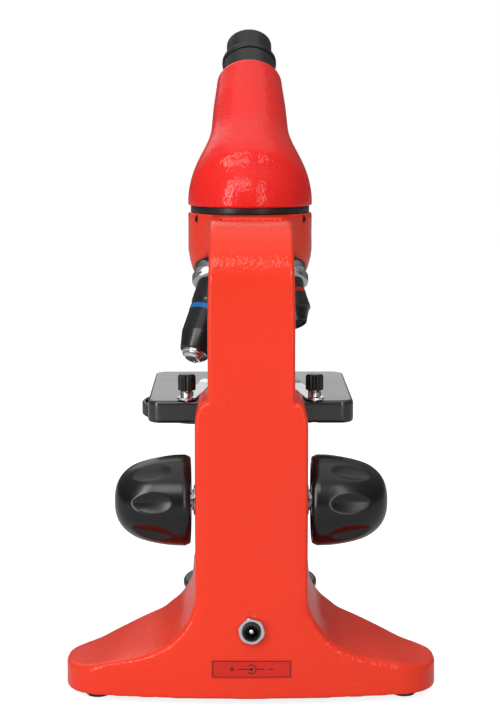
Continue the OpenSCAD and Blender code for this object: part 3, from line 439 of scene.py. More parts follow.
# every part of the casting as a distance, blended where they meet, with its slots and holes taken out
def castingField(x, y, z):
    c = casting
    ax = np.abs(x)
    wing = wingField(x, y, z)
    tongueY = axisY - 25.0
    tongue = np.hypot(x, np.minimum(y - tongueY, 0)) - c["tongueHalf"]
    tongue = softMax(np.maximum(tongue, y - (back - 20)), z - c["tongueTop"], 5.0)
    forward = np.clip((back - 18 - y) / 10, 0, 1)  # blends only work in front, so the rear faces stay flat
    body = softMin(wing, tongue, 9.0 * forward + 0.01)
    columnFront = back - c["columnDepth"]
    columnTop = stageHi[2] + 7.2
    rise = np.clip((z - (columnTop - 13)) / 13, 0, 1)
    half = c["armHalf"] + (c["columnHalf"] - c["armHalf"]) * np.sqrt(np.maximum(1 - rise ** 2, 0))
    column = softMax(softMax(ax - half, slab(y, columnFront, back), c["edge"]), z - columnTop, 5.0)
    column = np.maximum(column, np.hypot(x, y - (back - bowR)) - bowR - np.clip((z - 30) / 30, 0, 1))
    body = softMin(body, column, 6.0 * forward + 0.01)
    corner = c["armCorner"]
    qy, qz = y - (back - corner), z - (noseTop - corner)
    outer = np.where((qy > 0) & (qz > 0), np.hypot(np.maximum(qy, 0), np.maximum(qz, 0)) - corner,
                     np.maximum(y - back, z - noseTop))
    armFront = apexReach
    bridge = noseTop - 14.3
    gap = softMax(softMax(y - armFront, z - bridge, 12.0),
                  (y + z - (armFront - 7 + bridge - 14)) / math.sqrt(2), 12.0)
    armHalf = c["armHalf"] - c["armTaper"] * np.clip((z - noseTop + 40) / 40, 0, 1)
    arm = softMax(softMax(outer, -gap, 5.0), ax - armHalf, c["edge"])
    arm = np.maximum(np.maximum(arm, columnTop - 20 - z), axisY - 6 - y)
    body = softMin(body, arm, 0.8)
    rho = np.hypot(x, y - axisY)
    cone = c["noseRadius"] - 0.278 * np.maximum(noseTop - 18.8 - z, 0)
    ty, tz = math.sin(tilt), -math.cos(tilt)
    far = (y - apex[1]) * ty + (z - apex[2]) * tz  # distance below the apex along the nosepiece's axis
    nose = softMax(softMax(rho - cone, z - noseTop, 0.9), far - 33.8, 1.6)
    body = softMin(body, np.maximum(nose, noseTop - 44 - z), 7.0)
    body = np.maximum(body, z - noseTop)
    radial = np.sqrt(np.maximum(x ** 2 + (y - apex[1]) ** 2 + (z - apex[2]) ** 2 - far ** 2, 0))
    cavity = np.maximum(np.maximum(radial - 28.0, 33.8 - far), far - 63.8)
    body = softMax(body, -cavity, 1.2)
    # slot for the stage's slide, the pinion's pocket and the shaft's bore
    channel = np.maximum(np.maximum(ax - 13.0, slab(y, columnFront - 3, back - 23.6)), 53.3 - z)
    body = softMax(body, -channel, 0.8)
    pocket = np.maximum(np.maximum(ax - 5.5, slab(y, columnFront, shaftAt[1] + 7.6)),
                        np.abs(z - shaftAt[2]) - 8.6)
    body = np.maximum(body, -pocket)
    bore = np.hypot(y - shaftAt[1], z - shaftAt[2]) - 4.6
    body = np.maximum(body, -bore + 0 * x)
    # lamp well, set-screw holes, brightness wheel's slot
    well = np.maximum(rho - 15.0, 20.5 - z)
    body = np.maximum(body, -np.maximum(well, z - 60))
    for a in (30, 150, 270):
        d = np.array([math.cos(math.radians(a)), math.sin(math.radians(a))])
        out = x * d[0] + (y - axisY) * d[1]
        across = np.hypot(-x * d[1] + (y - axisY) * d[0], z - (noseTop - 2.4))
        body = softMax(body, -np.maximum(across - 1.5, 21.0 - out), 0.6)
    wheel = np.maximum(np.hypot(x - wheelAt[0], y - wheelAt[1]) - 10.6, slab(z, 10.8, 17.0))
    body = np.maximum(body, -wheel)
    inlet = np.maximum(np.hypot(x, z - jackAt[2]) - 4.05, back - 12 - y)
    body = np.maximum(body, -inlet)
    return np.maximum(np.maximum(body, castLo[2] - z), y - back)


apexReach = back - 22.0
wheelAt = jointPlace("brightness_turn")
jackAt = np.array([0, back, (boxOf("dc_jack_nut")[0][2] + boxOf("dc_jack_nut")[1][2]) / 2])
lo = castLo - 3.3
x, y, z = gridOver(lo, castHi + 3.3, casting["step"])
fieldToPiece("standCasting", castingField(x, y, z), lo, casting["step"], redCoat, "stand", merge=0.02,
             replaces=["stand_casting"], slot="red_enamel")
for a in (30, 150, 270):
    d = np.array([math.cos(math.radians(a)), math.sin(math.radians(a)), 0])
    at = np.array([0, axisY, noseTop - 2.4]) + 21.5 * d
    lathe("setScrewWell" + str(a), [[0, 0], [1.42, 0], [1.42, 6.3], [0.7, 6.3], [0.7, 5.0], [0, 5.0]], at,
          d, blackCoat, "stand", turns=32, slot="black_enamel", angle=30)
print("stand casting made")

# the head's casting

head = {"step": 0.62, "radius": 27.9, "domeHeight": 29.3, "power": 2.08, "tubeEnd": 60.0, "blend": 12.0,
        "endEdge": 3.0}


# a dome, blended into a tapered tube that leans towards the eye, with the eyepiece's bore taken out
def headField(x, y, z):
    h = head
    rho = np.hypot(x, y - axisY)
    up = np.maximum(z - headBottom, 0)
    dome = ((rho / h["radius"]) ** h["power"] + (up / h["domeHeight"]) ** h["power"]) ** (1 / h["power"])
    dome = (dome - 1) * h["radius"] * 0.93
    s = (y - prismAt[1]) * eyeAxis[1] + (z - prismAt[2]) * eyeAxis[2]
    off = np.hypot(x, (y - prismAt[1]) * eyeAxis[2] - (z - prismAt[2]) * eyeAxis[1])
    radius = np.interp(s.ravel(), [0, 27.7, 40.6, 53.7, 60], [19.6, 17.6, 16.8, 15.5, 15.0]).reshape(s.shape)
    spout = softMax(softMax(off - radius, s - h["tubeEnd"], h["endEdge"]), -s - 4, 3.0)
    body = softMin(dome, spout, h["blend"])
    body = softMax(body, headBottom - z, 1.0)
    bore = np.maximum(off - 12.32, 42 - s)
    return softMax(body, -bore, 0.8)


headLo, headHi = boxOf("head_casting")
lo = headLo - 1.9
x, y, z = gridOver(lo, headHi + 1.9, head["step"])
fieldToPiece("headCasting", headField(x, y, z), lo, head["step"], redHead, "head",
             replaces=["head_casting"], slot="red_enamel")
print("head made")

# the stage

plate = {"step": 0.5, "corner": 6.0, "edge": 1.6, "hole": 12.5}


# a square slab with round corners and softened edges, with its light hole, post holes and screw seats
def stageField(x, y, z):
    p = plate
    c = (stageLo + stageHi) / 2
    h = (stageHi - stageLo) / 2
    qx, qy = np.abs(x - c[0]) - h[0] + p["corner"], np.abs(y - c[1]) - h[1] + p["corner"]
    plan = np.hypot(np.maximum(qx, 0), np.maximum(qy, 0)) + np.minimum(np.maximum(qx, qy), 0) - p["corner"]
    body = softMax(plan, slab(z, stageLo[2], stageHi[2]), p["edge"])
    hole = np.hypot(x, y - axisY) - p["hole"]
    body = softMax(body, -hole + 0 * z, 0.8)
    posts = np.hypot(np.abs(x) - clipX, y - clipY) - 1.9
    body = np.maximum(body, -posts + 0 * z)
    screws = np.hypot(np.abs(x) - 12, np.minimum(np.abs(y - (stageHi[1] - 8)),
                                                 np.abs(y - (stageHi[1] - 20)))) - 3.05
    return softMax(body, -np.maximum(screws, stageHi[2] - 1.7 - z), 0.5)


clipX, clipY = jointPlace("clip_right_swing")[:2]
lo = stageLo - 1.5
x, y, z = gridOver(lo, stageHi + 1.5, plate["step"])
fieldToPiece("stagePlate", stageField(x, y, z), lo, plate["step"], stageCoat, "stage",
             replaces=["stage_plate"], slot="black_enamel")
print("stage made")

# focus knobs

knob = {"radius": 19.45, "length": 32.45, "power": 2.6, "dimples": 8, "dimpleDepth": 1.5, "dimpleAlong": 8.6,
        "dimpleAcross": 4.7, "dimpleAt": 16.0}


# eight ovals pressed into the side: each is one minus its oval distance squared, eased at its rim
def knobDimples(r, h, a, phase):
    k = knob
    pitch = 2 * math.pi / k["dimples"]
    near = (a - phase + pitch / 2) % pitch - pitch / 2
    oval = np.sqrt(((h - k["dimpleAt"]) / k["dimpleAlong"]) ** 2
                   + (near * k["radius"] / k["dimpleAcross"]) ** 2)
    dip = softMax(1 - oval ** 2, 0 * oval, 0.16)
    return -k["dimpleDepth"] * dip * (r > 12) * (h > 0.5)


def makeKnob(name, side, node):
    k = knob
    t = np.radians(np.linspace(2, 90, 90))
    barrel = np.stack([k["radius"] * np.cos(t) ** (2 / k["power"]),
                       k["length"] * np.sin(t) ** (2 / k["power"])], -1)
    barrel[-1, 0] = 0
    inner = rounded([[3.0, 12.0], [3.0, 0.2], [7.0, 0.2], [7.0, 2.0], [14.5, 2.0], [16.6, 0.1], [18.4, 0.1],
                     barrel[0]], 0.7)
    profile = np.vstack([[[0, 12.0]], inner, barrel[1:]])
    start = shaftAt + np.array([side * (boxOf("focus_knob_right")[0][0]), 0, 0])
    lathe(name, profile, start, (side, 0, 0), knobPlastic, "focus_drive", turns=256,
          ripple=lambda r, h, a: knobDimples(r, h, a, side * math.radians(7)),
          replaces=[node], slot="knob_plastic", angle=50)


makeKnob("focusKnobRight", 1, "focus_knob_right")
makeKnob("focusKnobLeft", -1, "focus_knob_left")
for side, tag in ((1, "Right"), (-1, "Left")):
    start = shaftAt + np.array([side * 23.6, 0, 0])
    lathe("bushingCollar" + tag, rounded([[3.15, 0], [6.4, 0], [6.4, 0.9], [3.15, 0.9], [3.15, 0]], 0.2),
          start, (side, 0, 0), steel, "stand", closed=False, slot="steel")
print("knobs made")

# objectives and nosepiece


# the direction of an objective: tilted from the nosepiece's axis, then turned round it
def objectiveAxis(turn):
    local = Vector((0, -math.sin(tilt), -math.cos(tilt)))
    local.rotate(Matrix.Rotation(math.radians(turn), 3, "Z"))
    local.rotate(Matrix.Rotation(tilt, 3, "X"))
    return np.array(local)


# a ripple of fine ridges round a band between two heights
def knurl(count, depth, low, high):
    return lambda r, h, a: depth * 0.5 * (np.cos(count * a) - 1) * ((h > low) & (h < high))


barrel = {"radius": 8.6, "collar": 10.6, "bands": 0.12}


def makeObjective(name, turn, length, endRadius, sleeve, taper, bandAt, bandMaterial, node, hole=3.9):
    axis = objectiveAxis(turn)
    r, c = barrel["radius"], barrel["collar"]
    e = 45 + length
    outline = rounded([[0, 44.3], [9.3, 44.3], [9.6, 45.0], [c, 45.0], [c, 47.2], [r + 0.7, 47.9],
                       [r + 0.7, 45 + sleeve], [r, 45 + sleeve + 0.5], [r, e - taper],
                       [r - 0.9, e - taper + 0.6], [endRadius, e - 1.2], [endRadius - 0.5, e], [hole, e],
                       [hole, e - 1.6], [0, e - 1.6]], 0.45)
    dense = np.vstack([np.column_stack([np.linspace(a[0], b[0], 4)[:-1], np.linspace(a[1], b[1], 4)[:-1]])
                       for a, b in zip(outline[:-1], outline[1:])] + [outline[-1:]])
    lathe(name, dense, apex, axis, barrelBlack, "nosepiece", turns=144, ripple=knurl(72, 0.28, 45.5, 46.9),
          replaces=[node], slot="barrel_black", angle=28)
    band = rounded([[r - 0.3, bandAt], [r + barrel["bands"], bandAt], [r + barrel["bands"], bandAt + 2.0],
                    [r - 0.3, bandAt + 2.0], [r - 0.3, bandAt]], 0.08)
    lathe(name + "Band", band, apex, axis, bandMaterial, "nosepiece", turns=96, slot="barrel_black")


makeObjective("objective4x", -120, 23, 5.4, 6, 6, 53.6, bandRed, "objective_4x")
makeObjective("objective10x", 0, 32, 5.0, 8, 11, 57.0, bandYellow, "objective_10x", 3.3)

long40 = objectiveAxis(120)
tipFrom = 82.0
outline = rounded([[0, 44.3], [9.3, 44.3], [9.6, 45.0], [10.6, 45.0], [10.6, 47.2], [9.0, 47.9],
                   [9.0, 59.0], [8.6, 59.5], [8.6, tipFrom - 8], [6.9, tipFrom - 0.4], [6.5, tipFrom],
                   [5.85, tipFrom], [5.85, 71.0], [0, 71.0]], 0.4)
lathe("objective40x", outline, apex, long40, barrelBlack, "nosepiece", turns=144,
      ripple=knurl(72, 0.28, 45.5, 46.9), replaces=["objective_40x"], slot="barrel_black", angle=28)
lathe("objective40xBand", rounded([[8.3, 61.4], [8.72, 61.4], [8.72, 63.6], [8.3, 63.6], [8.3, 61.4]],
                                  0.08), apex, long40, bandBlue, "nosepiece", slot="barrel_black")
lathe("frontCell40x", rounded([[0, 71.5], [5.8, 71.5], [5.8, 83.1], [5.2, 83.5], [5.2, 83.9], [4.4, 84.1],
                               [3.4, 85.3], [2.2, 85.3], [2.2, 84.2], [0, 84.2]], 0.25), apex, long40,
      chrome, "front_cell", replaces=["tip_40x"], slot="chrome", angle=28)

turretAxis = np.array([0, math.sin(tilt), -math.cos(tilt)])
turretShape = rounded([[3.1, 37.95], [25.3, 37.95], [26.0, 38.8], [26.0, 42.0], [24.6, 43.3], [14.0, 45.4],
                       [5.2, 46.3], [3.1, 46.3], [3.1, 37.95]], 0.7)
turretDense = np.vstack([np.column_stack([np.linspace(a[0], b[0], 5)[:-1], np.linspace(a[1], b[1], 5)[:-1]])
                         for a, b in zip(turretShape[:-1], turretShape[1:])] + [turretShape[-1:]])


# knurled grip: fine ridges round the rim only
def turretGrip(r, h, a):
    return 0.22 * (np.cos(120 * a) - 1) * ((r > 25.7) & (h > 38.9) & (h < 41.9))


lathe("turretDisc", turretDense, apex, turretAxis, satinMetal, "nosepiece", turns=480, ripple=turretGrip,
      replaces=["turret"], slot="chrome", angle=32)
for turn, tag in ((0, "A"), (120, "B"), (-120, "C")):
    lathe("objectiveSeat" + tag, rounded([[9.9, 41.4], [11.6, 41.4], [11.6, 44.4], [11.1, 44.95],
                                          [9.9, 44.95], [9.9, 41.4]], 0.3), apex, objectiveAxis(turn),
          satinMetal, "nosepiece", slot="chrome")
lathe("nosepiecePlate", rounded([[0, 33.85], [24.6, 33.85], [25.0, 34.4], [25.0, 37.0], [24.4, 37.58],
                                 [0, 37.58]], 0.5), apex, turretAxis, blackCoat, "stand", turns=160,
      replaces=["nosepiece_mount"], slot="black_enamel")
print("nosepiece made")

# head ring, eyepiece

ringProfile = rounded([[14.5, noseTop - 6.0], [20.5, noseTop - 6.0], [20.5, noseTop + 0.1],
                       [26.8, noseTop + 0.1], [26.8, headBottom], [14.5, headBottom],
                       [14.5, noseTop - 6.0]], 0.35)
lathe("dovetailRing", ringProfile, (0, axisY, 0), (0, 0, 1), blackCoat, "head", turns=160,
      replaces=["dovetail_ring"], slot="black_enamel")
lathe("drawTube", rounded([[11.65, 44.0], [12.3, 44.0], [12.3, 69.4], [12.0, 69.8], [11.65, 69.8],
                           [11.65, 44.0]], 0.2), prismAt, eyeAxis, blackCoat, "head", turns=128,
      replaces=["eyepiece_tube"], slot="black_enamel")
lathe("eyepieceBody", rounded([[10.2, 39.0], [11.6, 39.0], [11.6, 69.95], [12.5, 69.95], [12.8, 70.3],
                               [12.8, 72.2], [12.3, 72.9], [10.0, 72.95], [10.0, 76.9], [8.5, 76.95],
                               [8.5, 72.0], [10.2, 69.0], [10.2, 39.0]], 0.4), prismAt, eyeAxis,
      blackPlastic, "eyepiece", turns=128, replaces=["eyepiece_body"], slot="black_plastic")
lathe("eyepieceCap", rounded([[10.05, 73.05], [10.45, 73.05], [10.65, 73.3], [10.65, 83.4], [9.7, 84.55],
                              [7.6, 84.55], [6.4, 82.6], [6.0, 82.2], [6.0, 81.0], [8.0, 81.0], [8.0, 77.0],
                              [10.05, 77.0], [10.05, 73.05]], 0.35), prismAt, eyeAxis, blackPlastic,
      "eyepiece", turns=128, replaces=["eyepiece_cap"], slot="black_plastic")
lensTop = np.linspace(0, 7.9, 14)
lathe("eyeLens", np.vstack([[[0, 78.2], [7.9, 78.2], [7.9, 80.6]],
                            np.column_stack([lensTop[::-1],
                                             80.6 + 1.5 * (1 - (lensTop[::-1] / 7.9) ** 2)])[1:]]), prismAt,
      eyeAxis, glass, "eyepiece", turns=96, replaces=["eye_lens"], slot="glass")
print("eyepiece made")

# lamp

lampLo, lampHi = boxOf("illuminator_rim")
housingLo = boxOf("illuminator_housing")[0]
lathe("lampRim", rounded([[14.0, lampLo[2]], [30.5, lampLo[2]], [30.9, lampLo[2] + 0.5],
                          [30.9, lampHi[2] - 1.0], [30.1, lampHi[2]], [20.0, lampHi[2]],
                          [18.6, lampHi[2] - 0.9], [15.6, lampHi[2] - 1.3], [14.0, lampHi[2] - 2.0],
                          [14.0, lampLo[2]]], 0.6), (0, axisY, 0), (0, 0, 1), blackPlastic, "stand",
      turns=160, replaces=["illuminator_rim"], slot="black_plastic")
lathe("lampNeck", rounded([[14.0, housingLo[2]], [26.9, housingLo[2]], [26.9, lampLo[2]], [14.0, lampLo[2]],
                           [14.0, housingLo[2]]], 0.15), (0, axisY, 0), (0, 0, 1), blackPlastic, "stand",
      turns=128, replaces=["illuminator_housing"], slot="black_plastic",
      ripple=lambda r, h, a: 0.2 * (np.cos(90 * a) - 1) * (r > 26))
crown = np.linspace(0, 13.9, 24)
lensBase = boxOf("collector_lens")[0][2]
lathe("collectorLens", np.vstack([[[0, lensBase], [13.9, lensBase], [13.9, lensBase + 2.5]],
                                  np.column_stack([crown[::-1], lensBase + 2.5
                                                   + 3.1 * (1 - (crown[::-1] / 13.9) ** 2)])[1:]]),
      (0, axisY, 0), (0, 0, 1), frosted, "stand", turns=128, replaces=["collector_lens"], slot="glass")
lathe("lampReflector", rounded([[3.2, 22.4], [13.6, 28.6], [13.9, 28.6], [3.6, 22.0], [3.2, 22.4]], 0.1),
      (0, axisY, 0), (0, 0, 1), chrome, "stand", turns=96, slot="chrome")
print("lamp made")

# stage clips

clip = {"capRadius": 3.85, "ribs": 18, "blade": 0.8, "reach": 44.0, "turn": 10.0, "wire": 0.45, "coils": 3.2}


def makeClip(tag, side):
    node = "_left" if side < 0 else "_right"
    body = "clip" + node
    at = np.array([side * clipX, clipY, stageHi[2]])
    capLo, capHi = boxOf("clip_cap" + node)[0][2], boxOf("clip_cap" + node)[1][2]
    height = capHi - capLo
    cap = rounded([[0, 0], [3.6, 0], [3.85, 0.3], [3.85, height - 0.9], [3.1, height], [0, height]], 0.35)
    dense = np.vstack([np.column_stack([np.linspace(a[0], b[0], 4)[:-1], np.linspace(a[1], b[1], 4)[:-1]])
                       for a, b in zip(cap[:-1], cap[1:])] + [cap[-1:]])
    ribs = lambda r, h, a: -0.32 * (0.5 - 0.5 * np.cos(clip["ribs"] * a)) ** 0.6 * (r > 3.3)
    lathe("clipCap" + tag, dense, at + [0, 0, capLo - stageHi[2]], (0, 0, 1), knobPlastic, body, turns=216,
          ripple=ribs, replaces=["clip_cap" + node], slot="knob_plastic", angle=40)
    # blade: a strip whose half-width narrows forward, with a lip turned up at its end; v runs along, u across
    v = np.linspace(-4.2, clip["reach"] + 2.6, 72)[:, None]
    u = np.linspace(-1, 1, 13)[None, :]
    rear = np.sqrt(np.maximum(4.3 ** 2 - np.minimum(v, 0) ** 2, 0))
    front = np.sqrt(np.maximum(2.8 ** 2 - np.maximum(v - clip["reach"], 0) ** 2, 0))
    half = np.where(v < 0, rear, np.where(v > clip["reach"], front, 4.1 - 1.3 * v / clip["reach"]))
    lift = 0.35 + 1.1 * np.clip((v - clip["reach"] + 5) / 7, 0, 1) ** 2
    lift = lift + 0.25 * np.cos(v / clip["reach"] * math.pi) ** 2
    px, pz = half * u, lift + 0 * u
    angle = math.radians(-side * clip["turn"])
    spots = []
    for rise in (0, clip["blade"]):
        gx = px * math.cos(angle) + v * math.sin(angle)
        gy = px * math.sin(angle) - v * math.cos(angle)
        spots.append(np.stack([gx + at[0], gy + at[1], pz + rise + at[2]], -1).reshape(-1, 3))
    rows, cols = len(v), 13
    index = np.arange(rows * cols).reshape(rows, cols)
    under = np.stack([index[:-1, :-1], index[1:, :-1], index[1:, 1:], index[:-1, 1:]], -1).reshape(-1, 4)
    rim = np.concatenate([index[0, :], index[1:, -1], index[-1, -2::-1], index[-2:0:-1, 0]])
    nextRim = np.roll(rim, -1)
    wall = np.stack([rim, nextRim, nextRim + rows * cols, rim + rows * cols], -1)
    faces = np.vstack([under, under[:, ::-1] + rows * cols, wall])
    toMesh("clipBlade" + tag, np.vstack(spots), faces, chrome, body, replaces=["clip_blade" + node],
           slot="chrome", angle=50)
    turns = np.linspace(0, 2 * math.pi * clip["coils"], 90)
    climb = np.linspace(1.75, capLo - stageHi[2] - 0.5, 90)
    tube("clipSpring" + tag, np.stack([at[0] + 2.5 * np.cos(turns), at[1] + 2.5 * np.sin(turns),
                                       at[2] + climb], -1), clip["wire"], chrome, body, slot="chrome")


makeClip("Left", -1)
makeClip("Right", 1)
print("clips made")

# power inlet and label



# a hexagon's radius at angle a: the flat's distance over the cosine of the angle from its middle
def hexOutline(radius):
    flat = radius * math.cos(math.pi / 6)
    return lambda a: flat / np.cos((a + math.pi / 6) % (math.pi / 3) - math.pi / 6)


nutCorner = 6.05
nutShape = hexOutline(nutCorner)
nutProfile = np.array([[4.05, 0.0], [5.0, 0.0], [5.0, 0.3], [5.0, 1.3], [5.0, 2.2], [5.0, 2.6], [4.6, 2.6],
                       [4.05, 2.6], [4.05, 0.0]])


# the nut's side is the hexagon, cut back near its outer face by a cone that leaves a round chamfer
def nutRipple(r, h, a):
    target = np.minimum(nutShape(a + math.radians(15)), nutCorner - 0.9 * np.clip(h - 1.9, 0, 1))
    return np.where(r > 4.9, target - r, 0)


lathe("inletNut", nutProfile, jackAt, (0, 1, 0), chrome, "stand", turns=192, ripple=nutRipple,
      replaces=["dc_jack_nut"], slot="chrome", angle=25)
threads = np.linspace(0.0, 4.3, 60)
threadSide = np.column_stack([3.88 + 0.1 * np.cos(threads * 2 * math.pi / 0.75), threads])
lathe("inletBarrel", np.vstack([[[0, -2.8], [3.9, -2.8]], threadSide,
                                [[3.6, 4.5], [3.05, 4.5], [3.0, 4.3], [3.0, -2.0], [0, -2.0]]]), jackAt,
      (0, 1, 0), blackPlastic, "stand", turns=128, replaces=["dc_jack"], slot="black_plastic", angle=60)
lathe("inletPin", rounded([[0, -2.0], [1.05, -2.0], [1.05, 3.0], [0.5, 3.3], [0, 3.3]], 0.2), jackAt,
      (0, 1, 0), chrome, "stand", turns=48, replaces=["dc_jack_pin"], slot="chrome")

labelLo, labelHi = boxOf("rating_label")
labelMid = (labelLo + labelHi) / 2
inkDepth = 0.12


# the bowed rear face at x, and a distance behind it
def rearAt(x, off):
    return back - bowR + np.sqrt(bowR ** 2 - np.asarray(x) ** 2) + off


# a thin plate bent to the rear face, as two rows of points at each x on its near and far side
def curvedPatch(name, x0, x1, z0, z1, near, far, material, **more):
    xs = np.linspace(x0, x1, 24)
    rows = [np.stack([xs, rearAt(xs, off), np.full(24, zz)], -1)
            for off, zz in ((near, z0), (far, z0), (far, z1), (near, z1))]
    faces = []
    for k in range(4):
        a, b = k * 24 + np.arange(23), (k + 1) % 4 * 24 + np.arange(23)
        faces += np.stack([a, a + 1, b + 1, b], -1).tolist()
    faces += [[0, 24, 48, 72], [23, 95, 71, 47]]
    return toMesh(name, np.concatenate(rows), faces, material, "stand", slot="label_film", angle=30, **more)


curvedPatch("ratingLabel", labelLo[0], labelHi[0], labelLo[2], labelHi[2], -0.4, 0.2, labelFilm,
            replaces=["rating_label"])


# a flat ring or arc of ink: two radii swept between two angles, given a thickness off the rear face
def inkRing(name, x0, z0, radius, width, a0=0.0, a1=360.0):
    a = np.radians(np.linspace(a0, a1, 49))
    spots = []
    for rise in (0.0, inkDepth):
        for r in (radius - width / 2, radius + width / 2):
            spots.append(np.stack([x0 + r * np.cos(a), rearAt(x0 + r * np.cos(a), 0.15 + rise),
                                   z0 + r * np.sin(a)], -1))
    order = [spots[0], spots[1], spots[3], spots[2]]
    points = np.concatenate(order)
    n = 49
    faces = []
    for k in range(4):
        i = np.arange(n - 1)
        a0i, b0i = k * n + i, ((k + 1) % 4) * n + i
        faces += np.stack([a0i, a0i + 1, b0i + 1, b0i], -1).tolist()
    if abs(a1 - a0) < 359:
        faces += [[0, n, 2 * n, 3 * n], [n - 1, 4 * n - 1, 3 * n - 1, 2 * n - 1]]
    return toMesh(name, points, faces, inkBlack, "stand", slot="label_film")


def inkBar(name, x0, z0, w, h):
    return curvedPatch(name, x0 - w / 2, x0 + w / 2, z0 - h / 2, z0 + h / 2, 0.1, 0.2 + inkDepth / 2,
                       inkBlack)


# a plug-polarity sign: a dot in an open ring, with a plus and a minus at the ends of its leads
inkRing("polarityRing", labelMid[0], labelMid[2], 1.9, 0.4, 40, 320)
inkRing("polarityDot", labelMid[0], labelMid[2], 0.35, 0.7)
inkBar("polarityLeadIn", labelMid[0] + 3.2, labelMid[2], 5.0, 0.35)
inkBar("polarityLeadOut", labelMid[0] - 3.9, labelMid[2], 3.4, 0.35)
inkBar("plusBar", labelMid[0] + 8.2, labelMid[2], 2.0, 0.45)
inkBar("plusPost", labelMid[0] + 8.2, labelMid[2], 0.45, 2.0)
inkBar("minusBar", labelMid[0] - 8.2, labelMid[2], 2.0, 0.45)
for tag, sx in (("Right", 1), ("Left", -1)):
    inkBar("labelEdge" + tag, labelMid[0] + sx * (labelHi[0] - 0.5), labelMid[2], 0.3, 7.0)
for tag, sz in (("Top", 1), ("Bottom", -1)):
    inkBar("labelEdge" + tag, labelMid[0], labelMid[2] + sz * 3.4, 32.7, 0.25)
print("inlet and label made")

# magnification mark on the eyepiece, wrapped round its cap


# lettering bent round a cylinder: across becomes angle, up becomes distance along the axis
def wrapText(name, words, size, radius, height, origin, axis, turn, body, material):
    curve = bpy.data.curves.new(name, "FONT")
    curve.body = words
    curve.size = size * mm
    curve.extrude = 0.06 * mm
    curve.align_x = "CENTER"
    curve.align_y = "CENTER"
    holder = bpy.data.objects.new(name + "Shape", curve)
    bpy.context.scene.collection.objects.link(holder)
    mesh = bpy.data.meshes.new_from_object(holder.evaluated_get(bpy.context.evaluated_depsgraph_get()))
    bpy.data.objects.remove(holder)
    flat = np.empty(len(mesh.vertices) * 3)
    mesh.vertices.foreach_get("co", flat)
    flat = flat.reshape(-1, 3) / mm
    a = math.radians(turn) + flat[:, 0] / radius
    r = radius + flat[:, 2]
    local = np.stack([r * np.cos(a), r * np.sin(a), height + flat[:, 1]], -1)
    points = local @ frameAlong(axis).T + np.asarray(origin, float)
    faces = [list(p.vertices) for p in mesh.polygons]
    bpy.data.meshes.remove(mesh)
    return toMesh(name, points, faces, material, body, slot="black_plastic", angle=30)


wrapText("eyepieceMark", "10x", 3.8, 10.67, 79.2, prismAt, eyeAxis, -90, "eyepiece", markWhite)

# studio


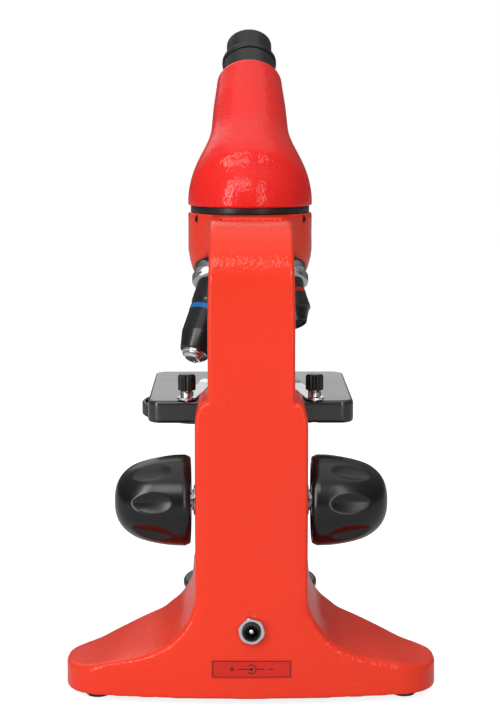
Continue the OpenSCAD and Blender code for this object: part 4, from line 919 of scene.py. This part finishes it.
def makeStudio():
    floorMesh = bpy.data.meshes.new("studioFloor")
    floorMesh.from_pydata([(-6, -6, 0), (6, -6, 0), (6, 6, 0), (-6, 6, 0)], [], [(0, 1, 2, 3)])
    floor = bpy.data.objects.new("studioFloor", floorMesh)
    bpy.context.scene.collection.objects.link(floor)
    material, nodes, links, shader = newMaterial("paleFloor")
    slow = noise(nodes, links, 3.0, 1.0)
    links.new(ramp(nodes, links, slow.outputs["Fac"], (0.40, 0.40, 0.40), (0.42, 0.42, 0.42)),
              shader.inputs["Base Color"])
    shader.inputs["Roughness"].default_value = 0.8
    shader.inputs["Specular IOR Level"].default_value = 0.15
    shader.inputs["Emission Color"].default_value = (1, 1, 1, 1)
    seen = nodes.new("ShaderNodeLightPath")
    glow = nodes.new("ShaderNodeMapRange")
    glow.inputs["To Min"].default_value = 0.2
    glow.inputs["To Max"].default_value = 0.86
    links.new(seen.outputs["Is Camera Ray"], glow.inputs["Value"])
    links.new(glow.outputs["Result"], shader.inputs["Emission Strength"])
    floorMesh.materials.append(material)
    world = bpy.data.worlds.new("studioWorld")
    bpy.context.scene.world = world
    world.use_nodes = True
    # white to the camera, and a room with darker walls to everything else, for metal to mirror
    nodes, links = world.node_tree.nodes, world.node_tree.links
    nodes["Background"].inputs["Strength"].default_value = 1.0
    facing = nodes.new("ShaderNodeTexCoord")
    parts = nodes.new("ShaderNodeSeparateXYZ")
    links.new(facing.outputs["Generated"], parts.inputs["Vector"])
    walls = nodes.new("ShaderNodeValToRGB")
    for at, shade in ((0.0, 0.30), (0.42, 0.06), (0.62, 0.16)):
        stop = walls.color_ramp.elements.new(at) if at else walls.color_ramp.elements[0]
        stop.color = (shade, shade, shade, 1)
    walls.color_ramp.elements[-1].color = (0.55, 0.55, 0.55, 1)
    height = nodes.new("ShaderNodeMapRange")
    height.inputs["From Min"].default_value = -1
    links.new(parts.outputs["Z"], height.inputs["Value"])
    links.new(height.outputs["Result"], walls.inputs["Fac"])
    path = nodes.new("ShaderNodeLightPath")
    choose = nodes.new("ShaderNodeMix")
    choose.data_type = "RGBA"
    links.new(path.outputs["Is Camera Ray"], choose.inputs["Factor"])
    links.new(walls.outputs["Color"], choose.inputs["A"])
    choose.inputs["B"].default_value = (1.0, 1.0, 1.0, 1)
    links.new(choose.outputs["Result"], nodes["Background"].inputs["Color"])

    def lamp(name, at, aim, size, power):
        light = bpy.data.lights.new(name, "AREA")
        light.shape = "RECTANGLE"
        light.size, light.size_y = size
        light.energy = power
        thing = bpy.data.objects.new(name, light)
        thing.location = at
        thing.rotation_euler = (Vector(aim) - Vector(at)).to_track_quat("-Z", "Y").to_euler()
        thing.visible_camera = False
        bpy.context.scene.collection.objects.link(thing)

    lamp("leftStrip", (0.62, 0.68, 0.42), (0, 0, 0.16), (0.16, 0.9), 5.2)
    lamp("rightStrip", (-0.34, 0.85, 0.42), (0, 0, 0.16), (0.14, 0.9), 2.4)
    lamp("behindCamera", (0.35, 1.2, 1.1), (0, 0, 0.12), (0.7, 0.5), 6.0)
    lamp("farLight", (0.30, -1.0, 0.9), (0, 0, 0.12), (0.8, 0.8), 2.0)
    lamp("topLight", (0, 0.05, 1.3), (0, 0, 0.1), (1.4, 1.4), 5.0)
    lamp("backdrop", (0, -1.5, 0.38), (0, 0, 0.15), (0.5, 0.4), 0.45)


# millimetres from the table's middle, degrees, and the focal length in picture heights
view = {"side": 6.0, "behind": 824.0, "height": 252.1, "down": 8.1, "focal": 1815 / 727}


def makeCamera():
    camera = bpy.data.cameras.new("studioCamera")
    camera.sensor_fit = "AUTO"
    camera.sensor_width = 36
    camera.lens = camera.sensor_width * view["focal"]
    thing = bpy.data.objects.new("studioCamera", camera)
    at = Vector((view["side"], view["behind"] + axisY, view["height"])) * mm
    down = math.radians(view["down"])
    reach = Vector((0, axisY * mm, 0)) - at
    reach.z = -math.hypot(reach.x, reach.y) * math.tan(down)
    thing.location = at
    thing.rotation_euler = reach.to_track_quat("-Z", "Y").to_euler()
    bpy.context.scene.collection.objects.link(thing)
    bpy.context.scene.camera = thing


makeStudio()
makeCamera()
bpy.context.scene.view_settings.view_transform = "Standard"
print("studio made")
